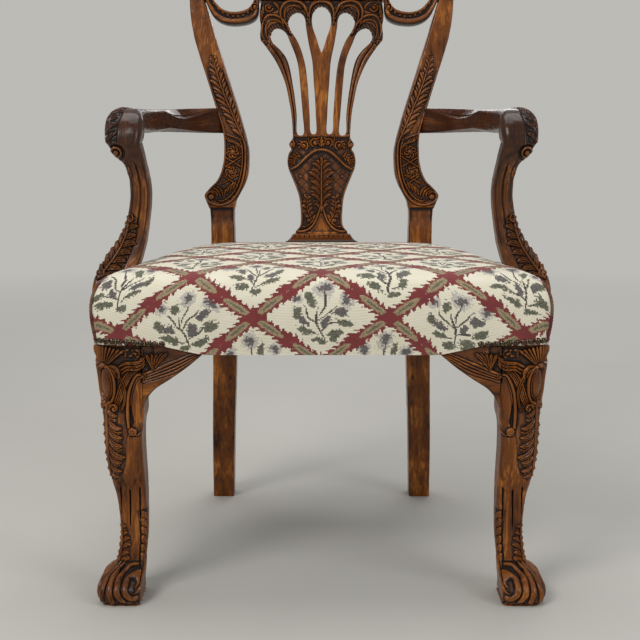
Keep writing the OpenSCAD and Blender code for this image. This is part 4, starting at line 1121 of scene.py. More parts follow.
# %% Needlepoint
def needlepoint_finish(name):
    f = Finish(name)
    cloth = f.add("UVMap", {"uv_map": "cloth"})
    u, v = f.flat_place(cloth, 1000.0)
    stitch = 1.75
    su = ((u / stitch).floor() + 0.5) * stitch
    sv = ((v / stitch).floor() + 0.5) * stitch
    spot = f.add("CombineXYZ", {}, {0: su, 1: sv, 2: 0.0})
    ragged = f.noise(spot, 0.23, 2.0, 0.7)
    speck = f.noise(spot, 0.61, 1.0)
    drift = f.noise(spot, 0.045, 1.0)
    a = su / DIAMOND_W + (sv - FIRST_CROSS) / DIAMOND_H
    b = su / DIAMOND_W - (sv - FIRST_CROSS) / DIAMOND_H
    fa, fb = a.fract() - 0.5, b.fract() - 0.5

    def band(across, along):
        """Red width and core of one band: across and along run 0 to 1 from line to line."""
        off = (0.5 - across.abs()) * BAND_STEP
        mid = 1.0 - (along.abs() * 2.0)          # 0 at a crossing, 1 half way to the next
        run = along * SIDE_LEN
        tooth = (run + off * 1.1).ping(5.2) * (1 / 5.2)
        wide = ((mid * 3.2).clip() * -2.6 + 11.8) + (tooth - 0.5) * 5.5 + (ragged - 0.5) * 10.0
        flame = (mid - 0.70).ramp(0.0, 0.3) * 3.4
        red = (wide + flame - off).ramp(0.0, 0.4)
        hump = (mid - 0.47) * (1 / 0.40)
        core = ((1.0 - hump * hump).most(0.0).sqrt() * 5.4 + (ragged - 0.5) * 5.0
                + (speck - 0.5) * 4.0 - off)
        return red, core.ramp(0.0, 0.5), (core - 3.5).ramp(0.0, 0.5)

    red_a, core_a, vein_a = band(fa, fb)
    red_b, core_b, vein_b = band(fb, fa)
    red = red_a.most(red_b)
    crossing = ((0.5 - fa.abs()) * BAND_STEP).most((0.5 - fb.abs()) * BAND_STEP)
    clear = crossing.ramp(8.8, 9.8)
    core = core_a.most(core_b) * clear
    vein = vein_a.most(vein_b) * clear
    # places inside a diamond, from its middle
    x = (fa + fb) * (DIAMOND_W / 2)
    y = (fa - fb) * (DIAMOND_H / 2)
    kind = (((a.floor() + b.floor()) * 0.5).fract() > 0.25)
    sway = (f.noise(spot, 0.021, 1.0) - 0.5) * 26.0
    dance = (f.noise(f.stretch(spot, (1.0, 1.0, 1.0), (70.0, 20.0, 0.0)), 0.03, 1.0) - 0.5) * 24.0
    local = f.add("CombineXYZ", {}, {0: x * (kind * 2.0 - 1.0) + sway, 1: y + dance, 2: 0.0})
    fray = (ragged - 0.5) * 1.05 + (speck - 0.5) * 0.65

    def oval(cx, cy, long, wide, turn, frayed=1.0):
        """1 inside a leaf shape with a frayed edge."""
        own = f.add("Mapping", {"vector_type": "TEXTURE"},
                    {"Vector": local, "Location": (cx, cy, 0.0),
                     "Rotation": (0.0, 0.0, math.radians(turn)), "Scale": (long, wide, 1.0)})
        size = f.add("VectorMath", {"operation": "LENGTH"}, {0: own}, out=1)
        return (1.0 + fray * frayed - size).ramp(0.0, 0.1)

    def leaves_of(*rows, frayed):
        """1 inside any of several leaf shapes."""
        masks = [oval(*row, frayed) for row in rows]
        total = masks[0]
        for mask in masks[1:]:
            total = total.most(mask)
        return total

    stems = leaves_of((-2, -12, 27, 1.5, 96), (10, 5, 19, 1.4, 48), (-11, 2, 18, 1.4, 130),
                      (2, 16, 17, 1.3, 80), (9, -17, 15, 1.3, 30), (-14, -22, 13, 1.3, 150),
                      frayed=0.5)
    leaves = leaves_of((-21, -20, 11, 6.4, 152), (17, -27, 12, 6.0, 22), (-30, 2, 9.5, 6.2, 128),
                       (29, -9, 11, 6.2, 10), (-12, 23, 9.5, 6.0, 104), (-6, -36, 9, 4.8, 172),
                       frayed=1.5)
    dusk = leaves_of((-19, -5, 9.5, 6.0, 140), (23, 6, 9.5, 5.6, 38), (8, -10, 9, 5.0, 70),
                     frayed=1.5)
    halo = leaves_of((5, 36, 13.5, 12, 0), (35, 22, 11, 10, 0), (-30, 24, 10, 9, 0), frayed=1.6)
    heart = leaves_of((5, 36, 7.6, 6.8, 0), (35, 22, 6.4, 5.6, 0), (-30, 24, 5.8, 5.0, 0),
                      frayed=2.2)
    ground = f.mix(drift, CREAM_SHADE, CREAM)
    ground = f.mix((speck - 0.5).ramp(0.0, 0.3) * 0.25, ground, CREAM_SHADE)
    green = f.mix(speck.ramp(0.35, 0.65), SAGE, (0.205, 0.205, 0.15))
    grey = f.mix(speck.ramp(0.35, 0.65), SLATE, (0.19, 0.175, 0.165))
    wool = f.mix(halo * 0.85, ground, f.mix(speck, PALE, (0.62, 0.58, 0.52)))
    wool = f.mix(heart, wool, grey)
    wool = f.mix(stems, wool, (0.085, 0.08, 0.07))
    wool = f.mix(leaves, wool, green)
    wool = f.mix(dusk, wool, grey)
    wool = f.mix(red, wool, f.mix(drift.ramp(0.3, 0.7), RED, f.mix(speck, RED_DARK, RED)))
    wool = f.mix(core, wool, f.mix(speck.ramp(0.3, 0.7), TAN, (0.30, 0.225, 0.125)))
    wool = f.mix(vein, wool, f.mix(speck, SAGE, (0.22, 0.20, 0.13)))
    # each row of stitches stands up as a rib, and each stitch leans across it
    row = ((v / (stitch * 1.25)).fract() - 0.5).abs() * 2.0
    lean = (((u + v * 0.6) / 1.5).fract() - 0.5).abs() * 2.0
    fuzz = f.noise(cloth, 2600.0, 2.0)
    groove = row.ramp(0.72, 1.0)
    wool = f.mix(groove * 0.26, wool, (0.25, 0.2, 0.13))
    height = (1.0 - row * row) * 1.0 + (1.0 - lean * lean) * 0.35 + fuzz * 0.25
    normal = f.bump(height, 0.0007, 0.65)
    return f.surface(Base_Color=wool, Roughness=0.92, Normal=normal, Sheen_Weight=0.15,
                     Sheen_Roughness=0.5, Specular_IOR_Level=0.2)


tapestry = needlepoint_finish("needlepoint")
print("needlepoint nodes:", len(tapestry.node_tree.nodes))

# %% [markdown]
# ## The seat
# The cover is stretched over the stuffing, down over the rails, and sewn at the two front
# corners. Its top is one grid and each side is another, so that the cloth keeps its own
# coordinates and the pattern breaks only at the seams, as on the real seat. Where the back,
# the shoe and the arm supports stand in the seat, the cloth is cut and turned in. Then it is
# blown up a little from inside as cloth, which gives the tight round of a stuffed seat.

# %% The seat's form
SEAT_LEVELS = [(364, 8), (380, 5), (402, 1.5), (427, 0), (445, 1.5), (459, 6), (470, 13),
               (477, 22), (481, 42), (483.3, 90), (484, 130)]
SEAT_BACK_Y = STILE_Y + 44.0
SEAT_HALF_BACK = HALF_B + 8.0
SEAT_SLOPE = (RAIL_X + 4.1 - SEAT_HALF_BACK) / (SEAT_BACK_Y - POST_BACK)
SEAT_HALF_FRONT = RAIL_X + 4.1 + SEAT_SLOPE * (POST_BACK - FRONT_Y)
SEAT_R, SHOULDER = 26.0, 470.0
REAR_RAIL_Y = STILE_Y + 4.0
SUPPORT_Y = FRONT_Y + 120.0
COVER_SINK, PAD_SINK = 2.2, 5.4              # mm inside the seat's full outline


def seat_inset(z):
    return curve(SEAT_LEVELS, z)


def seat_half(y):
    """Half the seat's width."""
    return SEAT_HALF_FRONT - SEAT_SLOPE * (y - FRONT_Y)


def seat_drop(y, z):
    """How far the crown falls away towards the back."""
    mid = (FRONT_Y + SEAT_BACK_Y) / 2
    return (14.0 * np.maximum(0, (y - mid) / (SEAT_BACK_Y - mid)) ** 2
            * np.clip((z - 440) / 36, 0, 1))


def seat_side(share, inset, part):
    """Places along one side of the seat's outline, corner middle to corner middle."""
    x, y0, y1, r = SEAT_HALF_FRONT - inset, FRONT_Y + inset, SEAT_BACK_Y - inset, SEAT_R
    level = part in ("front", "back")
    flat, bend = 2 * (x - r) if level else (y1 - y0) - 2 * r, r * math.pi / 4
    s = share * (flat + 2 * bend)
    a = np.clip(bend - s, 0, bend) / r
    b = np.clip(s - bend - flat, 0, bend) / r
    along = r + np.clip(s - bend, 0, flat) - r * np.sin(a) + r * np.sin(b)
    off = r * (1 - np.cos(a)) + r * (1 - np.cos(b))
    px = {"left": off - x, "right": x - off}.get(part, along - x)
    py = {"front": y0 + off, "back": y1 - off}.get(part, y0 + along)
    narrow = (seat_half(py) - inset) / x
    return px * narrow, py


def cloth_fall(z):
    """How far down the cloth a height is, measured over its curve from the shoulder."""
    heights = np.linspace(364, SHOULDER, 120)
    inset = seat_inset(heights)
    run = np.concatenate([[0], np.cumsum(np.hypot(np.diff(heights), np.diff(inset)))])
    return run[-1] - np.interp(z, heights, run)


def cover_foot(x, y, part):
    """The cover's bottom edge: level under the rails, higher over the knees and brackets."""
    if part == "front":
        return np.interp(np.abs(x), [159, 170, 216, 240, 335],
                         [364.6, 366.2, 377.6, 378.4, 380.0])
    if part == "back":
        return np.full(np.shape(x), 364.6)
    return np.interp(y, [FRONT_Y, -196, -166, -105, -94], [380.0, 378.4, 377.6, 366.2, 364.6])


# %% What stands in the seat
SUPPORT_OUT = [(372, 324), (400, 331), (440, 333), (462, 330), (480, 322), (497, 311), (513, 299),
               (530, 289), (551, 283), (581, 279), (622, 283), (640, 298), (655, 307)]
SUPPORT_IN = [(372, 294), (420, 294), (436, 286), (452, 277), (467, 271), (490, 263), (513, 257),
              (566, 250), (596, 250), (634, 256), (655, 260)]
SUPPORT_MID = [(372, 0), (440, 0), (467, 3), (513, 10), (566, 16), (596, 14), (634, 2), (655, -6)]
SUPPORT_DEEP = [(372, 66), (400, 72), (440, 72), (467, 56), (513, 38), (566, 33), (596, 33),
                (634, 38), (655, 44)]
SHOE_HALF, SHOE_BACK = 64.0, REAR_RAIL_Y + 24.0


def notch(p):
    """How deep a place is inside what stands in the seat; below 0 outside."""
    x, y, z = np.abs(p[..., 0]), p[..., 1], p[..., 2]
    gap = 0.7
    stile = np.minimum(x - (HALF_B - 43 - gap), y - (STILE_Y - gap))
    shoe = np.minimum(np.minimum(SHOE_HALF + gap - x, z - (RAIL_TOP - 1)),
                      np.minimum(y - (REAR_RAIL_Y - gap), SHOE_BACK + gap - y))
    mid = SUPPORT_Y + curve(SUPPORT_MID, z)
    support = np.minimum(x - (curve(SUPPORT_IN, z) - gap),
                         curve(SUPPORT_DEEP, z) / 2 + gap - np.abs(y - mid))
    return np.maximum(np.maximum(stile, shoe), support)


# %% Lay out the cover
COVER_ACROSS, COVER_DEEP, COVER_ROWS = 110, 82, 20


def seat_cover_mesh(sink):
    """Points, faces and cloth coordinates of each face corner."""
    front_n, side_n, rows = COVER_ACROSS, COVER_DEEP, COVER_ROWS
    parts = (("front", front_n), ("right", side_n), ("back", front_n), ("left", side_n))
    points, uvs, starts, tops = [], {}, {}, {}
    count = 0
    for part, n in parts:
        share = np.linspace(0, 1, n + 1)
        tx, ty = seat_side(share, seat_inset(SHOULDER) + sink, part)
        foot = cover_foot(tx, ty, part)
        t = np.linspace(0, 1, rows + 1)[:, None]
        z = foot + (SHOULDER - foot) * t
        x, y = np.empty_like(z), np.empty_like(z)
        for r in range(rows + 1):
            inset = seat_inset(z[r]) + sink
            for value in np.unique(np.round(inset, 2)):
                pick = np.abs(inset - value) < 0.006
                px, py = seat_side(share, value, part)
                x[r, pick], y[r, pick] = px[pick], py[pick]
        fall = cloth_fall(z)
        if part == "front":
            uv = np.stack([tx + 0 * z, ty - fall], -1)
        elif part == "back":
            uv = np.stack([tx + 0 * z, ty + fall], -1)
        else:
            uv = np.stack([tx + fall * (1 if part == "right" else -1), ty + 0 * z], -1)
        p = np.stack([x, y, z - seat_drop(y, z)], -1)
        starts[part] = count
        tops[part] = (tx, ty)
        points.append(p.reshape(-1, 3))
        uvs[part] = uv.reshape(-1, 2)
        count += p.shape[0] * p.shape[1]
    # the top, drawn between its four sides
    gu, gv = np.meshgrid(np.linspace(0, 1, front_n + 1), np.linspace(0, 1, side_n + 1))
    side = {k: np.stack(tops[k], -1) for k in tops}
    F, B = side["front"][None, :, :], side["back"][None, :, :]
    L, R = side["left"][:, None, :], side["right"][:, None, :]
    U, V = gu[..., None], gv[..., None]
    flat = ((1 - V) * F + V * B + (1 - U) * L + U * R
            - ((1 - U) * (1 - V) * side["left"][0] + U * (1 - V) * side["right"][0]
               + (1 - U) * V * side["left"][-1] + U * V * side["right"][-1]))
    x, y = flat[..., 0], flat[..., 1]
    lean = math.cos(math.atan(SEAT_SLOPE))
    d = np.stack([y - FRONT_Y, SEAT_BACK_Y - y, (seat_half(y) - np.abs(x)) * lean], 0)
    soft = 9.0
    depth = -soft * np.log(np.exp(-np.minimum(d, 400) / soft).sum(0)) + 3.0
    heights = [(row[1], row[0]) for row in SEAT_LEVELS if row[0] >= 459]
    z = curve(heights, np.clip(depth, 6, 130))
    z = np.maximum(z, SHOULDER - 4)
    for _ in range(30):
        inner = 0.25 * (z[:-2, 1:-1] + z[2:, 1:-1] + z[1:-1, :-2] + z[1:-1, 2:])
        z[0, :], z[-1, :], z[:, 0], z[:, -1] = SHOULDER, SHOULDER, SHOULDER, SHOULDER
        z[1:-1, 1:-1] = 0.5 * z[1:-1, 1:-1] + 0.5 * inner
    top = np.stack([x, y, z - seat_drop(y, z)], -1)
    points.append(top.reshape(-1, 3))
    uvs["top"] = flat.reshape(-1, 2)
    points = np.vstack(points)
    faces, corners = [], []
    for part, n in parts:
        quad = grid_faces(rows + 1, n + 1)[:, ::-1 if part in ("left", "back") else 1]
        faces.append(quad + starts[part])
        corners.append(uvs[part][quad])
    quad = grid_faces(side_n + 1, front_n + 1)
    faces.append(quad + count)
    corners.append(uvs["top"][quad])
    return points, np.vstack(faces), np.vstack(corners)


# %% Cut the cover round the wood
def cut_and_weld(points, faces, corners):
    moved = points.copy()
    # the side edges turn in to the stiles
    tuck = 0.94 * eased((points[:, 1] - STILE_Y + 20) / 20)
    over = np.maximum(np.abs(points[:, 0]) - HALF_B - 0.8, 0.0)
    moved[:, 0] -= np.sign(points[:, 0]) * over * tuck
    # behind the shoe the cover folds forward over the rail
    behind = (np.abs(points[:, 0]) < SHOE_HALF + 1) & (points[:, 1] > REAR_RAIL_Y + 8)
    lift = np.where(behind, np.maximum(points[:, 2] - RAIL_TOP - 1.2, 0.0), 0.0)
    moved[:, 1] = np.where(lift > 0, np.maximum(SHOE_BACK + 0.4, moved[:, 1] - lift), moved[:, 1])
    moved[:, 2] -= lift
    points = moved.copy()
    for _ in range(3):
        g = notch(moved)
        step = 0.05
        gx = (notch(moved + [step, 0, 0]) - notch(moved - [step, 0, 0])) / (2 * step)
        gy = (notch(moved + [0, step, 0]) - notch(moved - [0, step, 0])) / (2 * step)
        size = np.maximum(gx * gx + gy * gy, 0.25)
        near = np.abs(g) < 3.4
        moved[:, 0] -= np.where(near, g * gx / size, 0)
        moved[:, 1] -= np.where(near, g * gy / size, 0)
    shift = moved - points
    g = notch(moved)
    keep = g[faces].mean(1) < -0.02
    faces, corners = faces[keep], corners[keep]
    corners = corners + shift[faces][..., :2]
    # points that lie on each other become one
    key = np.round(points[:, 0] * 20) * 1e10 + np.round(points[:, 1] * 20) * 1e5 + np.round(
        points[:, 2] * 20)
    _, first, same = np.unique(key, return_index=True, return_inverse=True)
    faces = first[same.ravel()][faces]
    used = np.unique(faces)
    new = np.full(len(points), -1)
    new[used] = np.arange(len(used))
    return moved[used], new[faces], corners


def seat_piece(name, sink, finish):
    points, faces, corners = cut_and_weld(*seat_cover_mesh(sink))
    piece = make_piece(name, points, [faces], finish)
    layer = piece.data.uv_layers.new(name="cloth")
    uv = corners.reshape(-1, 2).copy()
    sag = 25.0 * (np.minimum(np.abs(uv[:, 0]), 330.0) / 260.0) ** 2
    uv[:, 1] += sag
    layer.data.foreach_set("uv", (uv / 1000.0).astype(np.float32).reshape(-1))
    rim = np.unique(rim_edges([faces]))
    return piece, rim


# %% Stretch it over the stuffing
CLOTH_FRAMES = 20


def inflate(piece, held, pressure, cap):
    """Blows a sheet up as cloth, holding its rim, and limits how far a point moves."""
    before = np.empty(len(piece.data.vertices) * 3, np.float32)
    piece.data.vertices.foreach_get("co", before)
    group = piece.vertex_groups.new(name="held")
    group.add([int(i) for i in held], 1.0, "REPLACE")
    cloth = piece.modifiers.new("stretch", "CLOTH")
    s = cloth.settings
    s.quality = 6
    s.mass = 0.4
    s.tension_stiffness = s.compression_stiffness = 18
    s.shear_stiffness = 10
    s.bending_stiffness = 3.0
    s.use_pressure = True
    s.uniform_pressure_force = pressure
    s.effector_weights.gravity = 0.0
    s.vertex_group_mass = "held"
    cloth.collision_settings.use_collision = False
    cloth.point_cache.frame_start, cloth.point_cache.frame_end = 1, CLOTH_FRAMES
    for frame_no in range(1, CLOTH_FRAMES + 1):
        scene.frame_set(frame_no)
    solved = piece.evaluated_get(bpy.context.evaluated_depsgraph_get())
    after = np.empty_like(before)
    solved.data.vertices.foreach_get("co", after)
    piece.modifiers.remove(cloth)
    scene.frame_set(1)
    move = (after - before).reshape(-1, 3)
    size = np.linalg.norm(move, axis=1, keepdims=True)
    move *= np.minimum(1.0, cap / np.maximum(size, 1e-9))
    piece.data.vertices.foreach_set("co", (before.reshape(-1, 3) + move).reshape(-1))
    piece.data.update()
    return float(size.max())


cover, cover_rim = seat_piece("seat_cover_cloth", COVER_SINK, tapestry)
moved = inflate(cover, cover_rim, pressure=3.2, cap=0.0045)
print("cover moved by up to", round(1000 * moved, 1), "mm, held to 4.5 mm")
stands_for(cover, "seat_cover")

# %% [markdown]
# ## The back posts
# Each back leg and its stile are one stick, upright to the seat and leaning above it. The stile
# narrows as it goes up. Its front carries a feather above the arm, and below it a sunk panel
# with two rosettes inside a double moulding that ends in a volute. The rings lie level, and only
# the topmost ones tip over, to end on the crest's sloping joint.

# %% The stile's bare form
STILE_OUTER = [(0, 197), (120, 195), (268, 191), (400, 192), (473, 192), (527, 194), (541, 199),
               (551, 202), (561, 195), (578, 179), (604, 170), (630, 168), (658, 170), (701, 183),
               (748, 198), (782, 209), (816, 219), (850, 225), (884, 227)]
STILE_INNER = [(0, 160), (120, 156), (268, 150), (400, 149), (473, 149), (536, 149), (553, 141),
               (570, 132), (587, 127), (604, 125.5), (621, 125.5), (638, 128), (663, 134.5),
               (689, 142), (714, 150), (748, 161), (782, 172), (816, 183), (841, 190), (862, 196),
               (884, 203)]
STILE_DEEP = [(0, 39), (200, 41), (400, 42), (473, 42), (620, 36), (760, 30), (895, 26),
              (1100, 26)]
FOOT_BACK = 52.0


def drawn(h):
    """The height in the stile's drawing of a height on the chair."""
    return np.where(h <= 473, h, 473 + (h - 473) * (884 - 473) / (CREST_Z + 6 - 473))


def on_back(x, up, deep):
    """A place on the chair from the leaning back's own drawing: across, height and depth."""
    return np.stack([x, STILE_Y + (up - BEND) * math.tan(RAKE) + deep * math.cos(RAKE),
                     up - deep * math.sin(RAKE)], -1)


def rounded_rings(x0, x1, y0, y1, r, counts, turns=5):
    """Rings of places round a rounded oblong, one for each row of sizes, from its front."""
    x0, x1, y0, y1, r = (np.broadcast_to(v, np.shape(x0))[:, None] for v in (x0, x1, y0, y1, r))
    parts = []
    runs = [((x0 + r, y0), (x1 - r, y0)), ((x1, y0 + r), (x1, y1 - r)),
            ((x1 - r, y1), (x0 + r, y1)), ((x0, y1 - r), (x0, y0 + r))]
    middles = [(x1 - r, y0 + r), (x1 - r, y1 - r), (x0 + r, y1 - r), (x0 + r, y0 + r)]
    for n, ((a, b), middle) in enumerate(zip(runs, middles)):
        t = np.linspace(0, 1, counts[n], endpoint=False)
        parts.append(np.stack([a[0] + (b[0] - a[0]) * t, a[1] + (b[1] - a[1]) * t], -1))
        angle = np.radians(90 * (n - 1) + np.linspace(0, 90, turns, endpoint=False))
        parts.append(np.stack([middle[0] + r * np.cos(angle), middle[1] + r * np.sin(angle)], -1))
    return np.concatenate(parts, 1)


def rosette(c, x, y, r, high, level, petals=8, turn=0.0):
    """A button with a ring of curling petals round it."""
    for n in range(petals):
        angle = np.radians(turn + 360 * n / petals + np.array([0, 14, 34, 60]))
        reach = r * np.array([0.40, 0.66, 0.90, 0.98])
        c.stroke(np.stack([x + reach * np.cos(angle), y + reach * np.sin(angle)], 1),
                 swell(r * 0.12, r * 0.21, r * 0.10, 0.6), high * 0.85, "leaf", level, 1.0)
    c.boss(x, y, r * 0.44, r * 0.44, high, level=level, moat=1.1)
    c.boss(x, y, r * 0.24, r * 0.24, high * 1.3, level=level, moat=1.0)


# %% The carving of the stile
INNER_MOULDING = [(-137, 653), (-132.5, 640), (-131, 622), (-132, 600), (-136.5, 577), (-145, 556),
                  (-158, 541.5), (-174, 536), (-187, 538), (-196, 543), (-199, 550), (-196, 556.5),
                  (-190, 558), (-185, 554)]
SECOND_MOULDING = [(-142, 648), (-137.8, 638), (-136.4, 622), (-137.4, 600), (-142, 578),
                   (-150.5, 560), (-161, 548), (-173, 542.5), (-182, 544.5)]
FEATHER = [(-137, 652), (-146, 673), (-156, 696), (-165, 717), (-174, 741), (-181, 763),
           (-186, 784)]


def stile_carving(c):
    outer, inner = -curve(STILE_OUTER, drawn(c.v)), -curve(STILE_INNER, drawn(c.v))
    left, right = c.u - outer, inner - c.u
    bar = 652 - 0.35 * (c.u + 150)
    field = (eased((c.v - bar + 2) / 4) * eased((780 - c.v) / 26) * eased((left - 1.6) / 3)
             * eased((right - 3.0) / 2.4))
    below = np.interp(c.u, [-196, -187, -174, -158, -145, -136], [549, 541, 539, 544, 558, 579])
    panel = (eased((bar + 1 - c.v) / 4) * eased((c.v - below) / 3) * eased((left - 2.0) / 2)
             * eased((right - 5.2) / 2.4))
    c.h = c.h - 2.3 * np.maximum(field, panel)
    # crossed lines over the panel's ground
    for n in range(-2, 16):
        z = 540 + 9.0 * n
        for way in (1, -1):
            c.groove([(-190, z), (-128, z + 62 * way)], 0.55, 0.5)
    c.h = np.where(panel > 0.5, c.h, np.maximum(c.h, -2.3 * np.maximum(field, panel)))
    # the feather
    c.frond(FEATHER, 12, [(0, 24), (0.25, 32), (0.6, 28), (0.85, 19), (1, 11)], 20,
            [(0, 3.9), (1, 3.2)], 5.0, sides=(1,), curl=24, shape="round", level=-2.6, first=0.0,
            last=0.94, rib=0, moat=0.6)
    c.frond(FEATHER, 9, [(0, 13), (0.3, 21), (0.7, 19), (1, 10)], 22, [(0, 3.9), (1, 3.0)], 5.0,
            sides=(-1,), curl=24, shape="round", level=-2.6, first=0.02, last=0.92, rib=2.3,
            moat=0.6)
    c.stroke([(-183, 768), (-186, 778), (-187.5, 788)], swell(1.5, 3.0, 1.4, 0.6), 4.0, "leaf",
             -1.8)
    # the strands between the feather and the first rosette
    for n in range(4):
        c.stroke([(-165 + 4 * n, 652 - 1.5 * n), (-160 + 4 * n, 645 - n), (-151 + 3 * n, 642 - n),
                  (-146 + 2.5 * n, 636 - n)], swell(0.8, 1.9, 0.8), 3.0, "leaf", -2.2)
    # crossed bands and rosettes
    for a, b in (((-166, 617), (-139, 601)), ((-166, 601), (-139, 618)), ((-168, 585), (-146, 570)),
                 ((-170, 573), (-144, 587))):
        c.stroke([a, b], 1.7, 3.6, "ridge", -2.4, 1.1)
    rosette(c, -153.5, 626, 10.5, 4.4, -2.6, 7)
    rosette(c, -156.5, 592, 9.6, 4.4, -2.6, 7, 20)
    # leaf curls that fill the corner by the volute
    for r, a0, a1 in ((10.5, 5, 105), (15.0, 0, 80), (20.0, 5, 62)):
        c.stroke(arc((-190.5, 550), r, start=a0, end=a1, count=14),
                 swell(0.9, 1.9, 0.9), 3.0, "leaf", level=-2.3, ready=True)
    for n in range(4):
        c.stroke([(-168 + 5 * n, 553 + 3.5 * n), (-165 + 5 * n, 562 + 3 * n),
                  (-160 + 4 * n, 568 + 3 * n)], swell(0.9, 2.1, 0.9), 3.3, "leaf", -2.3)
    c.strokes([
        (SECOND_MOULDING, [(0, 0.8), (0.1, 1.3), (0.9, 1.3), (1, 0.6)], 2.6, "round", -1.6),
        (INNER_MOULDING, [(0, 1.0), (0.1, 1.9), (0.8, 2.3), (1, 1.3)], 2.8, "round", -0.9, 1.1)])
    c.boss(-190.8, 549.8, 5.0, 5.0, 3.6, level=-1.6, moat=1.3)
    # the lower edge stands over the plain shaft
    c.h = c.h - 3.4 * eased((532.5 - c.v) / 2) * eased((c.v - 492) / 26)


# %% Build the left back leg and stile
def rear_leg():
    z = np.concatenate([np.linspace(0, 470, 60), np.linspace(471, CREST_Z, 430)])
    outer, inner = -curve(STILE_OUTER, drawn(z)), -curve(STILE_INNER, drawn(z))
    front_count = 62
    xy = rounded_rings(outer, inner, np.zeros_like(z), curve(STILE_DEEP, z), 3.5,
                       (front_count, 11, 12, 11))
    columns = xy.shape[1]
    tip = eased((z - 840) / 44)[:, None]
    up = z[:, None] - xy[..., 1] * math.cos(RAKE) * math.sin(RAKE) * tip
    face = np.where(up > BEND, STILE_Y + (up - BEND) * math.tan(RAKE),
                    STILE_Y + FOOT_BACK * (np.maximum(0, 365 - up) / 365) ** 1.5)
    place = np.stack([xy[..., 0], face + xy[..., 1], up], -1)
    sheet = np.full(up.shape, 900.0)
    sheet[:, :front_count + 1] = xy[:, :front_count + 1, 0]
    sheet[:, -1] = xy[:, -1, 0]
    c = Carving(sheet, np.repeat(z[:, None], columns, 1))
    stile_carving(c)
    c.h[:, front_count + 1:-1] = 0.0
    shaft = -1.6 * eased((531 - z) / 3)[:, None]
    c.h = np.where(np.abs(sheet) > 800, shaft, c.h)
    c.h = c.h * eased((CREST_Z - z) / 3)[:, None] * eased((z - 440) / 40)[:, None]
    c.tooled(7.0, 0.12, 11)
    body = raised(place, c.h)
    body[0, :, 2] = 0.0
    body[-1] = place[-1]
    # the feather is made lighter: it gets less of the painted shade, and more amber
    depth = recess(c.h, wrap=True) - 0.055 * within(c.v, 640, 800, 20, 14)
    points, faces = closed_tube(body)
    return make_piece("rear_leg_carved_left", points, faces, walnut,
                      {"depth": np.append(depth.ravel(), [0.5, 0.5])},
                      fibre=points + np.array([57.0, 90.0, 130.0]), sharp=55)


both(rear_leg(), "rear_leg_left")

# %% [markdown]
# ## The splat and its shoe
# The splat is a thin board, sawn into five ribs that open like a tree and join again under the
# crest in three scrolled arches. Its solid foot carries a palm leaf on a crossed ground, under a
# moulding like a bow. The ribs' edges are rounded over. The front comes forward a little at the
# top, to run into the crest.

# %% The splat's outline
SPLAT_EDGE = [(46, 485), (44, 492), (38, 499), (36, 508), (36.4, 530), (39, 551), (45.5, 570),
              (52.5, 587), (57.5, 600), (59, 612), (56.5, 625), (52.5, 632), (56, 640), (50, 651),
              (50, 663), (52, 690), (56, 714), (63.8, 748), (79, 782), (100, 812),
              (105, 818), (106, 826), (105, 842), (107, 858), (104, 884)]
OUTER_SLOT = [(39.5, 656), (42.5, 660), (43, 690), (45.5, 714), (48.5, 735), (58.5, 782), (70, 800),
              (84.5, 814), (88, 824), (86, 833), (79, 838.5), (68, 836), (59, 826), (54.5, 815),
              (46, 795), (40.5, 775), (37.5, 748), (34.5, 714), (32.5, 690), (30.5, 660),
              (33, 656)]
INNER_SLOT = [(16, 658), (19, 662), (20.5, 690), (22, 714), (24.5, 748), (29.5, 782), (40.5, 814),
              (55, 838), (57.5, 850), (53, 860), (42, 865.5), (33, 862), (28.5, 853), (27, 841),
              (22.5, 814), (16, 782), (13.6, 748), (11, 714), (10, 690), (9, 662), (11, 658)]
CENTRE_SLOT = [(0, 796), (4, 806), (9, 822), (15.5, 841), (16.5, 856), (13, 868), (6, 874.5),
               (0, 876)]
SPLAT_T, SPLAT_SET = 11.0, 8.0
CUSP_SIZE, CUSP_PITCH = 1.3, 6.5


def scalloped(loop, above):
    """Small cusps along the part of a slot's outline that lies above a height."""
    run = np.concatenate([[0], np.cumsum(np.hypot(*np.diff(loop, axis=0).T))])
    middle = loop.mean(0) * [1, 0] + [0, above]
    toward = middle - loop
    toward /= np.hypot(*toward.T)[:, None]
    wave = np.abs(np.sin(run * math.pi / CUSP_PITCH))
    lift = eased((loop[:, 1] - above) / 5.0) * CUSP_SIZE * wave
    return loop + toward * lift[:, None]


def splat_loops():
    edge = smooth_line(SPLAT_EDGE, 1.6)
    loops = [np.concatenate([edge, (edge * [-1, 1])[::-1]])]
    for slot, above in ((OUTER_SLOT, 824), (INNER_SLOT, 850)):
        half = scalloped(smooth_line(slot, 1.6, closed=True), above)
        loops += [half, (half * [-1, 1])[::-1]]
    half = smooth_line(CENTRE_SLOT, 1.6)
    half = np.stack([np.maximum(half[:, 0], 0.0), half[:, 1]], 1)
    centre = np.concatenate([half, (half * [-1, 1])[-2:0:-1]])
    loops.append(scalloped(centre, 862))
    return loops


# %% The carving of the splat
RIB_OUT = [(50, 660), (52, 690), (56, 714), (63.8, 748), (79, 782), (96, 806)]
RIB_IN = [(42.6, 660), (43, 690), (45.6, 714), (51.5, 748), (63, 789), (80, 812)]


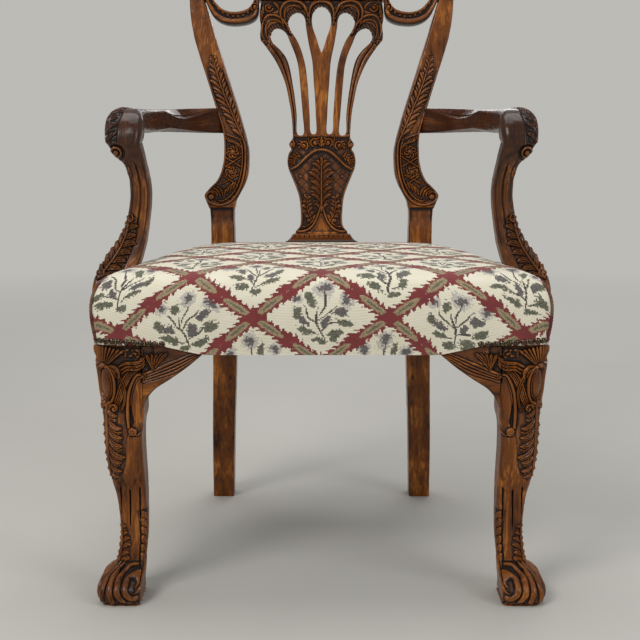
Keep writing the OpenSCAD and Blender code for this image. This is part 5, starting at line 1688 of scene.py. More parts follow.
def splat_carving(c):
    c.mirrored = True
    gap = c.gap
    # the solid foot: a sunk, crossed ground inside its edge
    u = np.abs(c.u)
    arch = np.interp(u, [0, 9, 18, 29, 42, 54, 60], [631, 629.5, 625, 615.5, 603, 597, 595])
    foot = eased((gap - 1.6) / 2.2) * eased((arch - 2 - c.v) / 3) * eased((c.v - 489) / 4)
    cheek = eased((gap - 1.6) / 2.0) * eased((c.v - arch - 2) / 3) * eased((655 - c.v) / 4)
    c.h = c.h - 2.0 * np.maximum(foot, cheek)
    for n in range(-2, 9):
        z = 490 + 17.0 * n
        c.groove([(-60, z), (60, z + 120)], 1.3, 0.5)
    c.h = np.where(foot > 0.3, c.h, -2.0 * np.maximum(foot, cheek))
    c.boss(28, 553, 2.6, 2.6, 1.8, level=-2.0)
    c.boss(36, 585, 2.4, 2.4, 1.8, level=-2.0)
    # palm leaf and the two stems below it
    c.frond([(0, 526), (0, 552), (0, 580), (0, 606)], 8, [(0, 20), (0.25, 29), (0.55, 32),
                                                          (0.8, 25), (1, 12)], 24,
            swell(3.2, 4.2, 2.8), 4.6, curl=54, level=-2.2, first=0.0, last=0.95, rib=2.3)
    c.stroke([(0, 604), (0, 612), (0, 619)], swell(2.0, 3.2, 1.2, 0.6), 3.4, "leaf", -2.0)
    c.frond([(13, 506), (21, 520), (25, 534), (24, 548)], 6, swell(12, 13, 7, 0.6), 30,
            [(0, 3.4), (1, 2.4)], 4.0, sides=(-1, 1), curl=70, level=-2.2, rib=1.3)
    c.strokes([
        ([(1.5, 534), (5.5, 521), (11.5, 507), (20, 496.5), (31, 491.5), (40, 491.5), (44, 495.5),
          (41.5, 500), (37, 498)], [(0, 1.6), (0.5, 2.3), (0.85, 2.0), (1, 1.2)], 3.6, "round",
         -1.8),
        ([(9, 521), (16, 508), (26, 500), (34, 499)], swell(0.7, 1.4, 0.7), 2.6, "round", -1.9)])
    triangle = (c.v < 526) & (u < np.interp(c.v, [488, 500, 510, 526], [22, 12, 7, 0.5]))
    c.h = np.where(triangle, np.maximum(c.h, -0.9), c.h)
    # bow moulding
    c.stroke([(0, 631), (9, 629.5), (18, 625), (29, 615.5), (42, 603), (55, 596)],
             swell(2.3, 2.1, 1.2, 0.85), 3.2, "round", -1.0, 1.2)
    # scrolls and rosettes over the bow
    for x, z, r, start, way in ((11.5, 643.5, 8.0, -60, 1), (31.0, 638.5, 8.0, 240, -1)):
        c.scroll((x, z), r, 1.25, start, way, 1.7, 3.8, 0.36, level=-2.2)
        for n in range(3):
            a = math.radians(start + 180 + 38 * n * way)
            c.stroke([(x + r * 0.9 * math.cos(a), z + r * 0.9 * math.sin(a)),
                      (x + r * 1.35 * math.cos(a + 0.3 * way),
                       z + r * 1.35 * math.sin(a + 0.3 * way))], swell(1.2, 1.7, 0.7, 0.6), 3.4,
                     "leaf", -2.2)
    c.stroke([(0, 637), (0, 645), (0, 653)], swell(1.6, 3.0, 1.0), 3.2, "leaf", -2.0)
    c.frond([(36, 620), (43, 619), (49, 614), (54, 605)], 6, swell(9, 10, 5), 40,
            [(0, 1.5), (1, 1.2)], 3.4, sides=(1, -1), curl=30, level=-2.2, rib=1.1)
    c.stroke([(22, 656), (22.5, 648), (20.5, 640), (21.5, 634)], swell(0.8, 1.5, 0.8), 2.8,
             "ridge", -2.0)
    c.boss(51.5, 638.5, 4.2, 4.2, 3.4, level=-0.8, moat=1.2)
    c.groove(spiral((51.5, 638.5), 3.2, 1.1, 150, 1), 0.7, 1.0, ready=True)
    # doubled moulding up the outer ribs, which ends in a curl
    places = np.linspace(0, 1, 90)
    out_line, in_line = (
        np.stack([np.interp(places, np.linspace(0, 1, len(line)), column) for column in line.T], 1)
        for line in (smooth_line(RIB_OUT, 1.5), smooth_line(RIB_IN, 1.5)))
    for share, high in ((0.24, 2.2), (0.74, 1.9)):
        middle = out_line + (in_line - out_line) * share
        span = np.hypot(*(in_line - out_line).T)
        wide = [(p, 0.24 * w) for p, w in zip(places[::6], span[::6])]
        c.stroke(middle, wide, high, "round", -0.8, 1.0, ready=True)
    c.strokes([
        ([(49, 652), (49.5, 646), (47, 641), (48, 636)], [(0, 1.4), (1, 1.8)], 2.4, "round", -0.6),
        # the arch over the outer slot
        ([(90, 803), (95, 806.5), (99.5, 807.5), (102.5, 811.5), (100.5, 816), (96, 815.5),
          (95.8, 811.5)], swell(1.2, 1.9, 1.2, 0.4), 3.2, "round", -0.4, 1.1),
        ([(98.5, 818), (102.3, 826), (102.6, 840), (99.5, 851.5), (91, 858.5), (79, 858.5),
          (68.5, 853), (61, 844), (56, 835), (54, 829.5)], [(0, 1.2), (0.2, 2.2), (0.75, 2.3),
                                                            (1, 1.1)], 3.4, "round", -0.2, 1.2),
        ([(92.5, 818), (96, 829), (95.5, 841), (90.5, 849.5), (80, 851.5), (70, 847), (64, 839.5)],
         [(0, 1.0), (0.3, 1.7), (0.8, 1.7), (1, 0.9)], 2.6, "round", -0.4, 1.0)])
    for n in range(3):
        c.stroke([(60 - 2.2 * n, 847 - 2 * n), (57.5 - 2.2 * n, 840 - 3 * n),
                  (58.5 - 3 * n, 833 - 3.5 * n)], swell(0.9, 2.1, 0.8), 3.6, "leaf", -0.6)
    # the arch over the inner slot
    c.strokes([
        ([(66, 845), (69.5, 855), (70.5, 866), (66, 876), (56, 882), (42, 881.5), (31.5, 876),
          (26, 866.5), (22.5, 857), (22, 851)], [(0, 1.2), (0.2, 2.2), (0.75, 2.2), (1, 1.1)], 3.4,
         "round", 0.2, 1.2),
        ([(61.5, 850), (64, 860), (61, 869.5), (53, 874.5), (42, 874), (34, 869)],
         [(0, 1.0), (0.3, 1.6), (0.8, 1.6), (1, 0.9)], 2.6, "round", 0.0, 1.0)])
    for n in range(3):
        c.stroke([(26.5 - 1.6 * n, 868 - 3 * n), (23.5 - 1.4 * n, 860 - 3.5 * n),
                  (24.6 - 1.8 * n, 852 - 4 * n)], swell(0.9, 1.8, 0.8), 3.4, "leaf", -0.4)
    # the arch over the middle slot
    c.stroke([(20.5, 851), (21, 863), (17.5, 874), (9, 880.5), (0, 882)], swell(1.2, 1.9, 1.9),
             3.2, "round", 0.0, 1.1)
    deep = eased((9.0 - gap) / 2.0) * (c.home > 0) * np.maximum(
        eased((c.v - 822) / 6) * (u > 50), eased((c.v - 846) / 6) * (u < 64))
    rolled = c.h > 0.9
    c.h = np.where(rolled, c.h, c.h - 2.8 * deep * (0.8 + 0.2 * np.cos(1.1 * c.u + 0.9 * c.v)))
    # the ground over the arches lies deep, with a scroll and two leaves on it
    top = np.interp(u, [0, 9, 17, 22, 27, 36, 48, 58, 67, 72, 80, 90, 98, 103],
                    [885, 884, 878, 868, 873, 882, 886, 885, 878, 867, 862, 862, 854, 842])
    c.h = c.h - 3.0 * eased((c.v - top - 1.6) / 1.6)
    c.scroll((91, 872), 7.6, 1.2, 200, 1, 2.0, 4.8, 0.34, level=-3.0)
    for n in range(3):
        c.stroke([(103 - 1.5 * n, 850 + 6 * n), (105 - 2 * n, 859 + 6 * n),
                  (101 - n, 867 + 5 * n)], swell(1.0, 2.2, 0.8), 4.0, "leaf", -3.0)
    c.stroke([(73, 869), (77, 876), (83, 881)], swell(1.4, 2.6, 1.0), 4.0, "leaf", -3.0)
    c.tooled(6.0, 0.10, 21)


def splat_front(x, z, h):
    """The front comes forward at the top, to run into the crest."""
    return on_back(x, z, SPLAT_SET - 5.0 * eased((z - 832) / 52) - h)


splat = board("splat_carved", splat_loops(), 0.92, splat_carving, splat_front,
              lambda x, z, h: on_back(x, z, SPLAT_SET + SPLAT_T + h), walnut,
              lambda p: p + np.array([20.0, 70.0, 310.0]), ease=2.2)
stands_for(splat, "splat")

# %% The shoe
SHOE_SECTION = [(0, 432), (0, 444), (0.2, 466), (1.0, 470), (2.6, 473.5), (5.0, 475.6), (7.0, 476.4),
                (7.0, 478), (6.2, 478.8), (6.2, 484.2), (7.0, 485), (24, 485), (24, 432)]


def splat_shoe():
    """A moulded bar: its section is swept across, and its ends are drawn in above."""
    section_line = np.array(SHOE_SECTION, float)
    long = np.concatenate([section_line[i] + (section_line[i + 1] - section_line[i])
                           * np.linspace(0, 1, n, endpoint=False)[:, None]
                           for i, n in enumerate((2, 8, 3, 3, 3, 2, 2, 2, 6, 2, 8, 6))]
                          + [section_line[-1:]])
    x = np.linspace(-1, 1, 385)
    half = np.interp(long[:, 1], [432, 472, 477, 485], [SHOE_HALF, SHOE_HALF, 53, 49])
    px = x[:, None] * half[None, :]
    py = np.repeat(long[None, :, 0], len(x), 0)
    pz = np.repeat(long[None, :, 1], len(x), 0)
    # small upright cuts in the top band
    band = within(pz, 478.4, 484.8, 0.8, 0.8) * (py < 6.6)
    cut = band * 1.3 * eased(1 - np.abs(((px / 8.4) % 1.0) - 0.5) * 2 / 0.28)
    points = np.stack([px, REAR_RAIL_Y + py + cut, pz], -1)
    rows, columns = px.shape
    quads = grid_faces(rows, columns)[:, [0, 3, 2, 1]]
    under = np.arange(rows - 1) * columns
    close = np.stack([under + columns - 1, under + 2 * columns - 1, under + columns, under], -1)
    flat = points.reshape(-1, 3)
    flat = np.vstack([flat, flat[:columns].mean(0), flat[-columns:].mean(0)])
    ends = [fan_faces(0, columns, rows * columns),
            fan_faces((rows - 1) * columns, columns, rows * columns + 1, flip=True)]
    # painted shade in the small cuts; the rounded band below the top band is darkened too
    depth = 0.5 + 0.25 * cut / 1.3 + 0.2 * ((pz > 466) & (pz < 476) & (py < 6))
    return make_piece("splat_shoe_moulded", flat, [quads, close] + ends, walnut,
                      {"depth": np.append(depth.ravel(), [0.5, 0.5])},
                      fibre=flat[:, [2, 1, 0]] + 200.0, sharp=40)


shoe = splat_shoe()
stands_for(shoe, "splat_shoe")

# %% [markdown]
# ## The crest
# The crest rail caps the stiles and the splat. Each end is an eared scroll round a pierced eye,
# ringed by a moulding with a string of beads. The middle rises to a shell between two long
# leaves. The moulding is worked out from how far a place is from the eye and from the outer
# edge, so it keeps even widths all the way round.

# %% The crest's outline
CREST_LOW = [(108, 0), (108, -16), (112, -29), (124, -37), (148, -41), (166, -39), (179, -33),
             (188, -24), (194, -13), (200, 0)]
CREST_TOP = [(227, 0), (233, 14), (243, 26), (247, 38), (244, 50), (234, 57), (222, 55), (208, 49),
             (190, 47), (170, 51), (140, 62), (110, 74), (84, 82), (60, 87), (40, 92), (20, 99),
             (0, 101)]
CREST_EYE = [(116, 4), (119, -6), (128, -15), (150, -20), (168, -16), (180, -6), (188, 6),
             (191, 18), (184, 27), (168, 30), (146, 34), (128, 31), (118, 20)]
CREST_PROUD = 2.0
CREST_RISE = CHAIR_H - CREST_Z - CREST_PROUD * math.sin(RAKE)


def crest_loops():
    low = smooth_line(CREST_LOW, 1.6)
    top = smooth_line(CREST_TOP, 1.6)
    edge = np.concatenate([low, top])
    outline = np.concatenate([edge, (edge * [-1, 1])[::-1][1:]])
    eye = smooth_line(CREST_EYE, 1.6, closed=True)
    loops = [outline, eye, (eye * [-1, 1])[::-1]]
    return [np.stack([p[:, 0], CREST_Z + np.where(p[:, 1] > 0, p[:, 1] * CREST_RISE / 101,
                                                  p[:, 1])], 1) for p in loops]


# %% The carving of the crest
def crest_carving(c):
    c.mirrored = True
    c.v = c.v - CREST_Z
    u = np.abs(c.u)

    def distance(loop):
        """How far each point of the sheet is from an outline."""
        spot, _ = nearest(u.ravel(), c.v.ravel(), [loop - [0, CREST_Z]])
        return np.hypot(spot[:, 0] - u.ravel(), spot[:, 1] - c.v.ravel()).reshape(u.shape)

    from_edge, from_eye = [distance(loop) for loop in crest_loops()[:2]]
    # rolled rim outside, with the ground sunk inside it
    inner = eased((from_edge - 5.0) / 2.0) * eased((from_eye - 3.0) / 2.0)
    c.h = c.h - 2.6 * inner + 0.9 * np.sin(np.clip(from_edge / 5.5, 0, 1) * math.pi)
    # mouldings round the eye: a roll, a hollow for the beads, and a broad roll outside
    across = from_eye / np.maximum(from_eye + from_edge, 1e-6)
    near = eased((30 - from_eye - from_edge) / 5) * eased((from_eye + from_edge - 8) / 3)
    roll = np.interp(across, [0, 0.10, 0.22, 0.27, 0.34, 0.50, 0.56, 0.60, 0.78, 0.94, 1],
                     [0, 1.6, 0.2, -1.8, -2.0, -2.0, -1.6, 0.3, 1.9, 0.8, 0])
    c.h = c.h * (1 - near) + roll * near
    for x, y in ((176.5, -15), (169.5, -21.5), (161, -25.5), (152, -28), (143, -28.3), (134.5, -26),
                 (126.5, -21.5), (185, -6), (190.5, 3.5)):
        c.boss(x, y, 2.0, 2.0, 3.2, level=-2.0, moat=0.3)
    # volutes at both ends of the C
    c.scroll((114.5, -12), 7.4, 1.3, -60, 1, 1.7, 3.6, 0.42, level=-0.4)
    c.stroke([(106, 22), (112, 15), (113, 6), (109, 0), (103, 2), (103, 7)],
             swell(1.2, 2.2, 1.2, 0.4), 3.4, "round", -1.4)
    # the ear: a big scroll
    c.scroll((228, 33), 16.5, 1.75, -110, 1, 2.7, 4.2, 0.26, level=-2.0)
    c.stroke([(211, -2), (216, 8), (218, 18), (212, 30), (203, 38)], swell(1.5, 2.6, 1.2), 3.6,
             "leaf", -1.8)
    for n in range(4):
        c.stroke([(208 - 6 * n, 35 + 0.6 * n), (202 - 7 * n, 40 + 0.8 * n),
                  (194 - 8 * n, 41.5 + 1.6 * n)], swell(1.0, 2.2, 0.8), 3.2, "leaf", -1.8)
    # rosettes over the splat's arches, each in its own ring
    c.stroke(arc((88, 9), 13.5), 1.9, 3.6, "round", -1.8, ready=True)
    rosette(c, 88, 9, 10.2, 3.8, -2.2, 9)
    # long leaves from the shell out over the eyes
    c.frond([(20, 64), (45, 69), (72, 67), (100, 59), (128, 48.5), (150, 43)], 12,
            [(0, 16), (0.4, 17), (0.8, 12), (1, 8)], 26, swell(2.6, 2.5, 1.7, 0.6), 4.2,
            sides=(1, -1), curl=26, level=-2.2, first=0.02, last=0.96, rib=2.0)
    # C-scrolls under the leaves
    c.strokes([
        ([(62, 2), (68, 16), (66, 30), (56, 41), (42, 46), (30, 43), (25, 35), (30, 29), (36, 32)],
         [(0, 1.6), (0.4, 2.7), (0.85, 2.1), (1, 1.4)], 4.2, "round", -1.8, 1.2),
        ([(57, 6), (62, 17), (60, 28), (52, 36), (43, 39)], swell(0.9, 1.6, 0.8), 3.0, "round",
         -2.0)])
    for n in range(5):
        c.stroke([(47 - 4 * n, 26 - 3 * n), (42 - 5 * n, 18 - 2 * n), (40 - 5 * n, 8 - n)],
                 swell(1.0, 2.4, 1.2), 3.6, "leaf", -2.2)
    c.stroke([(74, 22), (78, 31), (88, 35), (99, 31), (106, 24)], swell(1.2, 2.4, 1.2), 3.6,
             "leaf", -2.0)
    # the shell and the drop below it
    for n in range(6):
        angle = math.radians(90 - n * 19)
        tip = (30 - 1.0 * n) * (1.0 if n < 5 else 0.8)
        ray = np.array([math.cos(angle), math.sin(angle)])
        c.stroke([ray * [4.2, 3] + [0, 62], ray * tip * [0.6, 0.62] + [0, 62], ray * tip + [0, 62]],
                 [(0, 1.0), (0.6, 3.2), (0.9, 3.6), (1, 1.8)], swell(2.6, 4.8, 4.0, 0.7), "cup",
                 -2.0, 1.2)
    c.scroll((12.5, 53), 6.6, 1.2, 20, -1, 1.7, 4.4, 0.4, level=-1.6)
    c.stroke([(0, 47), (9, 40), (12, 28), (8.5, 16), (0, 10)], swell(1.7, 2.4, 1.7), 4.2, "round",
             -1.8)
    c.boss(0, 28.5, 7.6, 13.0, 4.4, level=-2.2, power=0.55)
    c.boss(0, 56, 6.0, 5.0, 5.4, level=-1.8)
    c.tooled(6.0, 0.12, 31)


def crest_deep(z):
    """The crest's front is dished a little towards its joint with the splat."""
    return -CREST_PROUD + 4.0 * eased((CREST_Z + 40 - z) / 40) * (z > CREST_Z - 1)


def crest_front(x, z, h):
    middle = eased((112 - np.abs(x)) / 10)
    return on_back(x, z, -CREST_PROUD + (crest_deep(z) + CREST_PROUD) * middle - h)


crest = board("crest_rail_carved", crest_loops(), 1.0, crest_carving, crest_front,
              lambda x, z, h: on_back(x, z, 26.0 + h), walnut,
              lambda p: p[:, [2, 1, 0]] + np.array([400.0, 50.0, 0.0]), ease=3.2)
stands_for(crest, "crest_rail")

# %% [markdown]
# ## The arms
# An arm rises out of its support in a rounded elbow, runs back and curls in to the stile. Its
# section changes on the way: nearly square and full at the elbow, then pared away on the inner
# side by two long facets, the upper one dished, that die out again before the stile. Each ring
# is a rounded oblong with its corners cut by sloping planes, set along a smooth path.

# %% The path of an arm
def lean_y(z):
    return STILE_Y + np.maximum(0, z - BEND) * math.tan(RAKE)


ARM_Z, ELBOW_Z, ARM_FALL = 704.0, 655.0, 6.0
ARM_MID = ARM_Z - 19.0
ELBOW_R = ARM_MID - ELBOW_Z
ELBOW_Y = SUPPORT_Y - 6.0 + ELBOW_R
ARM_RUN = float(lean_y(ARM_MID)) + 16.0 - ELBOW_Y
ARM_TILT = math.radians(17.0)


def arm_stations():
    """Rows of x, y, z, climb, heading, width and height, angles in degrees."""
    rows = []
    for e in range(90, -1, -15):
        c, s, s2 = (math.cos(math.radians(e)), math.sin(math.radians(e)),
                    math.sin(math.radians(2 * e)))
        rows.append((-284 + 2 * c, ELBOW_Y - ELBOW_R * s, ELBOW_Z + ELBOW_R * c, e, 0,
                     48 + 8 * s2 - 6 * c, 44 - 7 * c))
    for x, share, heading, wide, high in (
            (-284, 0.13, -1, 40, 37), (-285, 0.32, 1, 38, 36), (-280, 0.51, 10, 38, 36),
            (-266, 0.67, 22, 38, 36), (-243, 0.82, 38, 36, 38), (-212, 0.93, 54, 34, 41),
            (-176, 1.02, 64, 33, 43), (-150, 1.07, 64, 33, 43)):
        rows.append((x, ELBOW_Y + ARM_RUN * share, ARM_MID - ARM_FALL * share, 0, heading, wide,
                     high))
    return np.array(rows)


def arm_facets(a, b, wide, high, share):
    """Cuts the inner corners of a section; share is how far along the straight run it is."""
    upper = np.interp(share, [0.60, 0.655, 0.70, 0.76, 0.83, 0.89, 0.955, 1.0],
                      [0, 4.3, 7.5, 11.2, 12.6, 10.5, 4.3, 0])
    lower = np.interp(share, [0.36, 0.45, 0.58, 0.67, 0.80, 0.93, 1.02],
                      [0, 2.2, 4.6, 6.6, 4.6, 2.4, 0.6])
    for sign, cut, tilt in ((1, upper, 34.0), (-1, lower, 19.0)):
        na, nb = math.sin(math.radians(tilt)), math.cos(math.radians(tilt)) * sign
        edge = wide / 2 * na + high / 2 * abs(nb)
        over = np.maximum(a * na + b * nb - (edge - cut[:, None]), 0.0)
        # the upper facet is dished
        dish = np.where((sign > 0) & (over < 0.999 * over.max(1, keepdims=True)), 1.14, 1.0)
        a, b = a - na * over * dish, b - nb * over * dish
    return a, b


# %% The carving of the elbow
def elbow_carving(c):
    """A feathered leaf over the outer corner of the elbow; v runs up and back from the joint."""
    field = (eased((c.u + 36) / 4) * eased((12 - c.u - 0.10 * np.abs(c.v - 50)) / 4)
             * eased((112 - c.v) / 16) * eased((c.v + 4) / 5))
    c.h = c.h - 2.0 * field
    spine = [(-11, 0), (-12, 26), (-12, 52), (-8, 78), (1, 102), (8, 118)]
    c.frond(spine, 9, [(0, 22), (0.3, 26), (0.7, 23), (1, 9)], 28, [(0, 4.4), (1, 3.0)], 4.2,
            sides=(1, -1), curl=48, level=-2.0, first=0.0, last=0.95, rib=2.1)


# %% Build the left arm
def around(place, turn):
    """How far round its ring each point is; past the column turn it is counted backwards."""
    step = np.linalg.norm(np.roll(place, -1, 1) - place, axis=2)
    run = np.cumsum(step, 1) - step
    run[:, turn:] -= step.sum(1, keepdims=True)
    return run


def arm():
    rows = arm_stations()
    reach = np.concatenate([[0], np.cumsum(np.linalg.norm(np.diff(rows[:, :3], axis=0),
                                                         axis=1))])
    s = np.concatenate([np.linspace(0, 60, 90), np.linspace(61, reach[-1], 190)])
    x, y, z, climb, heading, wide, high = (curve(np.stack([reach, rows[:, k]], 1), s)
                                           for k in range(7))
    c1, s1 = np.cos(np.radians(climb)), np.sin(np.radians(climb))
    c2, s2 = np.cos(np.radians(heading)), np.sin(np.radians(heading))
    along = np.stack([s2 * c1, c2 * c1, s1], 1)
    side = np.stack([c2, -s2, np.zeros_like(s2)], 1)
    up = np.cross(side, along)
    corner = np.interp(s, [0, 60, 110, 200], [11.0, 11.0, 7.0, 5.0])
    counts, turns = (60, 40, 24, 36), 14
    xy = rounded_rings(-wide / 2, wide / 2, -high / 2, high / 2, corner, counts, turns)
    a, b = xy[..., 0], -xy[..., 1]
    share = (y - ELBOW_Y) / ARM_RUN
    a, b = arm_facets(a, b, wide[:, None], high[:, None], share)
    middle = np.stack([x, y, z], 1)
    place = middle[:, None] + side[:, None] * a[..., None] + up[:, None] * b[..., None]
    # the end is cut on the stile's sloping plane
    normal = np.array([math.cos(ARM_TILT), 0.0, math.sin(ARM_TILT)])
    seat_point = np.array([-175.0, 0.0, ARM_MID - ARM_FALL])
    last = int(np.argmax((middle - seat_point) @ normal > 0))
    place, along, s = place[:last + 1], along[:last + 1], s[:last + 1]
    short = -((place - seat_point) @ normal) / (along @ normal)[:, None]
    blend = np.clip((s - s[-1] + 70.0) / 70.0, 0, 1)[:, None] ** 2
    place = place + along[:, None] * (short * blend * (blend > 0))[..., None] * np.where(
        blend < 1, blend, 1.0)[..., None]
    u = around(place, counts[0] + turns + counts[1])
    v = np.concatenate([[0], np.cumsum(np.linalg.norm(np.diff(place[:, 0], axis=0), axis=1))])
    c = Carving(u, np.repeat(v[:, None], u.shape[1], 1))
    elbow_carving(c)
    c.h = c.h * eased((c.v - 0.2) / 1.5)
    c.tooled(9.0, 0.12, 41)
    body = raised(place, c.h)
    body[-1] = place[-1]
    depth = recess(c.h, wrap=True) + 0.10 * eased((SUPPORT_Y + 45 - place[..., 1]) / 40)
    # grain runs along the arm
    fibre = np.stack([u, 0 * u + 30.0, np.repeat(s[:, None], u.shape[1], 1)], -1).reshape(-1, 3)
    points, faces = closed_tube(body)
    return make_piece("arm_carved_left", points, faces, arm_walnut,
                      {"depth": np.append(depth.ravel(), [0.5, 0.5])},
                      fibre=np.vstack([fibre, fibre[:1], fibre[-1:]]), sharp=50)


both(arm(), "arm_left")

# %% [markdown]
# ## The arm supports
# A support grows out of the side of the seat frame, sweeps in and rises to the elbow. Reeds run
# down its front, an acanthus leaf climbs its outer corner from the seat, and a round eye closes
# the leaf under the elbow.

# %% The carving of a support
def support_carving(c, across):
    """across is the share of the front's width, from the outer side."""
    z = c.v
    reeded = within(z, 498, 634, 14, 16)
    on_front = (across > -0.02) & (across < 1.02)
    for place, wide, deep in ((0.14, 0.025, 0.7), (0.53, 0.050, 1.9), (0.90, 0.025, 0.7)):
        c.h = c.h - reeded * on_front * deep * np.exp(-((across - place) / wide) ** 2)
    c.h = c.h + reeded * on_front * 0.8 * np.exp(-((across - 0.44) / 0.05) ** 2)
    # the acanthus on the outer corner
    leaf = (within(z, 462, 552, 6, 14)
            * eased((0.70 - across) / 0.08) * eased((across + 0.75) / 0.1))
    c.h = c.h - 1.9 * leaf
    spine = [(-324, 462), (-312, 476), (-301, 491), (-291, 508), (-284, 526), (-280, 545)]
    c.frond(spine, 8, [(0, 23), (0.35, 27), (0.75, 21), (1, 11)], 22, swell(4.6, 5.2, 3.0, 0.6),
            4.9, sides=(1, -1), curl=58, level=-2.1, first=0.0, last=0.93, rib=2.0, moat=1.2)
    c.stroke(arc((-278.5, 547), 3.4, 5.6, count=40), 1.2, 2.8, "round", -1.2, ready=True)
    c.scroll((-322, 469), 7.0, 1.2, 40, -1, 1.7, 3.4, 0.4, level=-1.4)
    # the eye under the elbow, with the leaf's edge over it
    c.h = c.h - 1.6 * eased((14 - np.hypot(c.u + 294, z - 641)) / 3)
    c.scroll((-294, 641), 10.4, 1.5, 250, -1, 2.2, 3.6, 0.34, level=-1.5)
    for n in range(4):
        c.stroke([(-291 + 3.4 * n, 629 - 1.5 * n), (-287 + 3.6 * n, 622 - 3 * n),
                  (-286 + 3.2 * n, 611 - 3 * n)], swell(1.0, 1.9, 0.6), 2.4, "leaf", -1.0)


# %% Build the left support
def arm_support():
    z = np.linspace(KNEE_H + 3.0, ELBOW_Z, 286)
    table_z = np.where(z < 440, 372 + (z - 380) * 68 / 60, z)
    x0, x1 = -curve(SUPPORT_OUT, table_z), -curve(SUPPORT_IN, table_z)
    middle, deep = SUPPORT_Y + curve(SUPPORT_MID, table_z), curve(SUPPORT_DEEP, table_z)
    counts = (56, 26, 16, 36)
    xy = rounded_rings(x0, x1, middle - deep / 2, middle + deep / 2, 7.0, counts, turns=9)
    # the foot lies flat on the side rail
    rail = -(RAIL_X - (xy[..., 1] - POST_BACK) * SIDE_TAN) - 0.2
    foot = (z < RAIL_TOP + 2)[:, None]
    xy[..., 0] = np.where(foot, np.minimum(xy[..., 0], rail), xy[..., 0])
    place = np.concatenate([xy, np.repeat(z[:, None], xy.shape[1], 1)[..., None]], 2)
    u = around(place, counts[0] + 9 + counts[1]) + (x0 + 7.0)[:, None]
    across = (u - x0[:, None]) / (x1 - x0)[:, None]
    c = Carving(u, place[..., 2])
    support_carving(c, across)
    c.h = c.h * eased((ELBOW_Z - c.v) / 2) * eased((c.v - 446) / 8)
    c.tooled(7.0, 0.10, 51)
    body = raised(place, c.h)
    body[0], body[-1] = place[0], place[-1]
    depth = recess(c.h, wrap=True) + 0.13 * eased((c.v - 580) / 60)
    points, faces = closed_tube(body)
    lean = points.copy()
    lean[:, 0] += np.interp(points[:, 2], table_z, -0.5 * (x0 + x1))
    return make_piece("arm_support_carved_left", points, faces, support_walnut,
                      {"depth": np.append(depth.ravel(), [0.5, 0.5])},
                      fibre=lean + np.array([31.0, 400.0, 77.0]), sharp=55)


both(arm_support(), "arm_support_left")

# %% [markdown]
# ## Under the cover
# Jute webbing is stretched over the open frame and woven, sackcloth goes over it, and the
# stuffing lies on that. A thin black cloth closes the frame from below. None of this shows from
# the front, but a look from underneath does show it. Each cloth is a sheet of its own flat size.

# %% Coarse cloth finishes
def woven_finish(name, light, dark, pitch):
    """Plain weave from the sheet's own coordinates; pitch is in threads to the metre."""
    f = Finish(name)
    where = f.add("TexCoord", out=3)
    x, y = f.flat_place(where, pitch)
    uneven = (f.noise(where, 90.0, 2.0) - 0.5) * 1.2
    warp = ((x + uneven).fract() - 0.5).abs() * 2.0
    weft = ((y + uneven).fract() - 0.5).abs() * 2.0
    over = (((x.floor() + y.floor()) * 0.5).fract() > 0.25)
    height = over * (1.0 - warp * warp) + (1.0 - over) * (1.0 - weft * weft)
    blotch = f.noise(where, 22.0, 3.0)
    # painted shade: the colour follows the threads' height, darker where they dip and lighter on
    # their crowns; the blotches are the cloth's own
    colour = f.mix((height * 0.7 + blotch * 0.5 - 0.15).clip(), dark, light)
    return f.surface(Base_Color=colour, Roughness=(blotch - 0.5) * 0.1 + 0.9,
                     Normal=f.bump(height, 0.0006, 0.7), Specular_IOR_Level=0.2)


webbing_finish = woven_finish("jute_webbing", (0.46, 0.36, 0.22), (0.20, 0.14, 0.075), 450.0)
hessian_finish = woven_finish("sackcloth", (0.50, 0.39, 0.24), (0.17, 0.12, 0.07), 600.0)
dust_finish = woven_finish("black_bottom_cloth", (0.085, 0.078, 0.07), (0.02, 0.019, 0.018), 900.0)
calico_finish = woven_finish("calico", (0.66, 0.58, 0.44), (0.40, 0.34, 0.25), 800.0)


# %% Sheets under the seat
def strip(name, finish, edges, height, rows, columns):
    """A sheet between the two edges that edges(t) gives, t from 0 to 1, at its own height."""
    t, w = np.meshgrid(np.linspace(0, 1, rows + 1), np.linspace(0, 1, columns + 1), indexing="ij")
    near, far = edges(t)
    flat = near + (far - near) * w[..., None]
    points = np.concatenate([flat, height(flat[..., 0], flat[..., 1])[..., None]], -1)
    return make_piece(name, points, [grid_faces(rows + 1, columns + 1)], finish)


def declare(piece, node, long):
    """Places a sheet and hides the frame node that it stands for; long, its flat size in metres, is
    not used.
    """
    stands_for(piece, node)


def spread(piece):
    """A piece's area in square metres."""
    return sum(p.area for p in piece.data.polygons)


WEB_W, WEB_GAP, WEB_Z = 50.0, 76.0, 434.4
web_xs = [k * WEB_GAP for k in (-1.5, -0.5, 0.5, 1.5)]
web_ys = list(np.linspace(RAIL_Y + 84.0, REAR_RAIL_Y - 60.0, 4))


def side_face(y):
    """The outer face of a side rail."""
    return RAIL_X - (y - POST_BACK) * SIDE_TAN


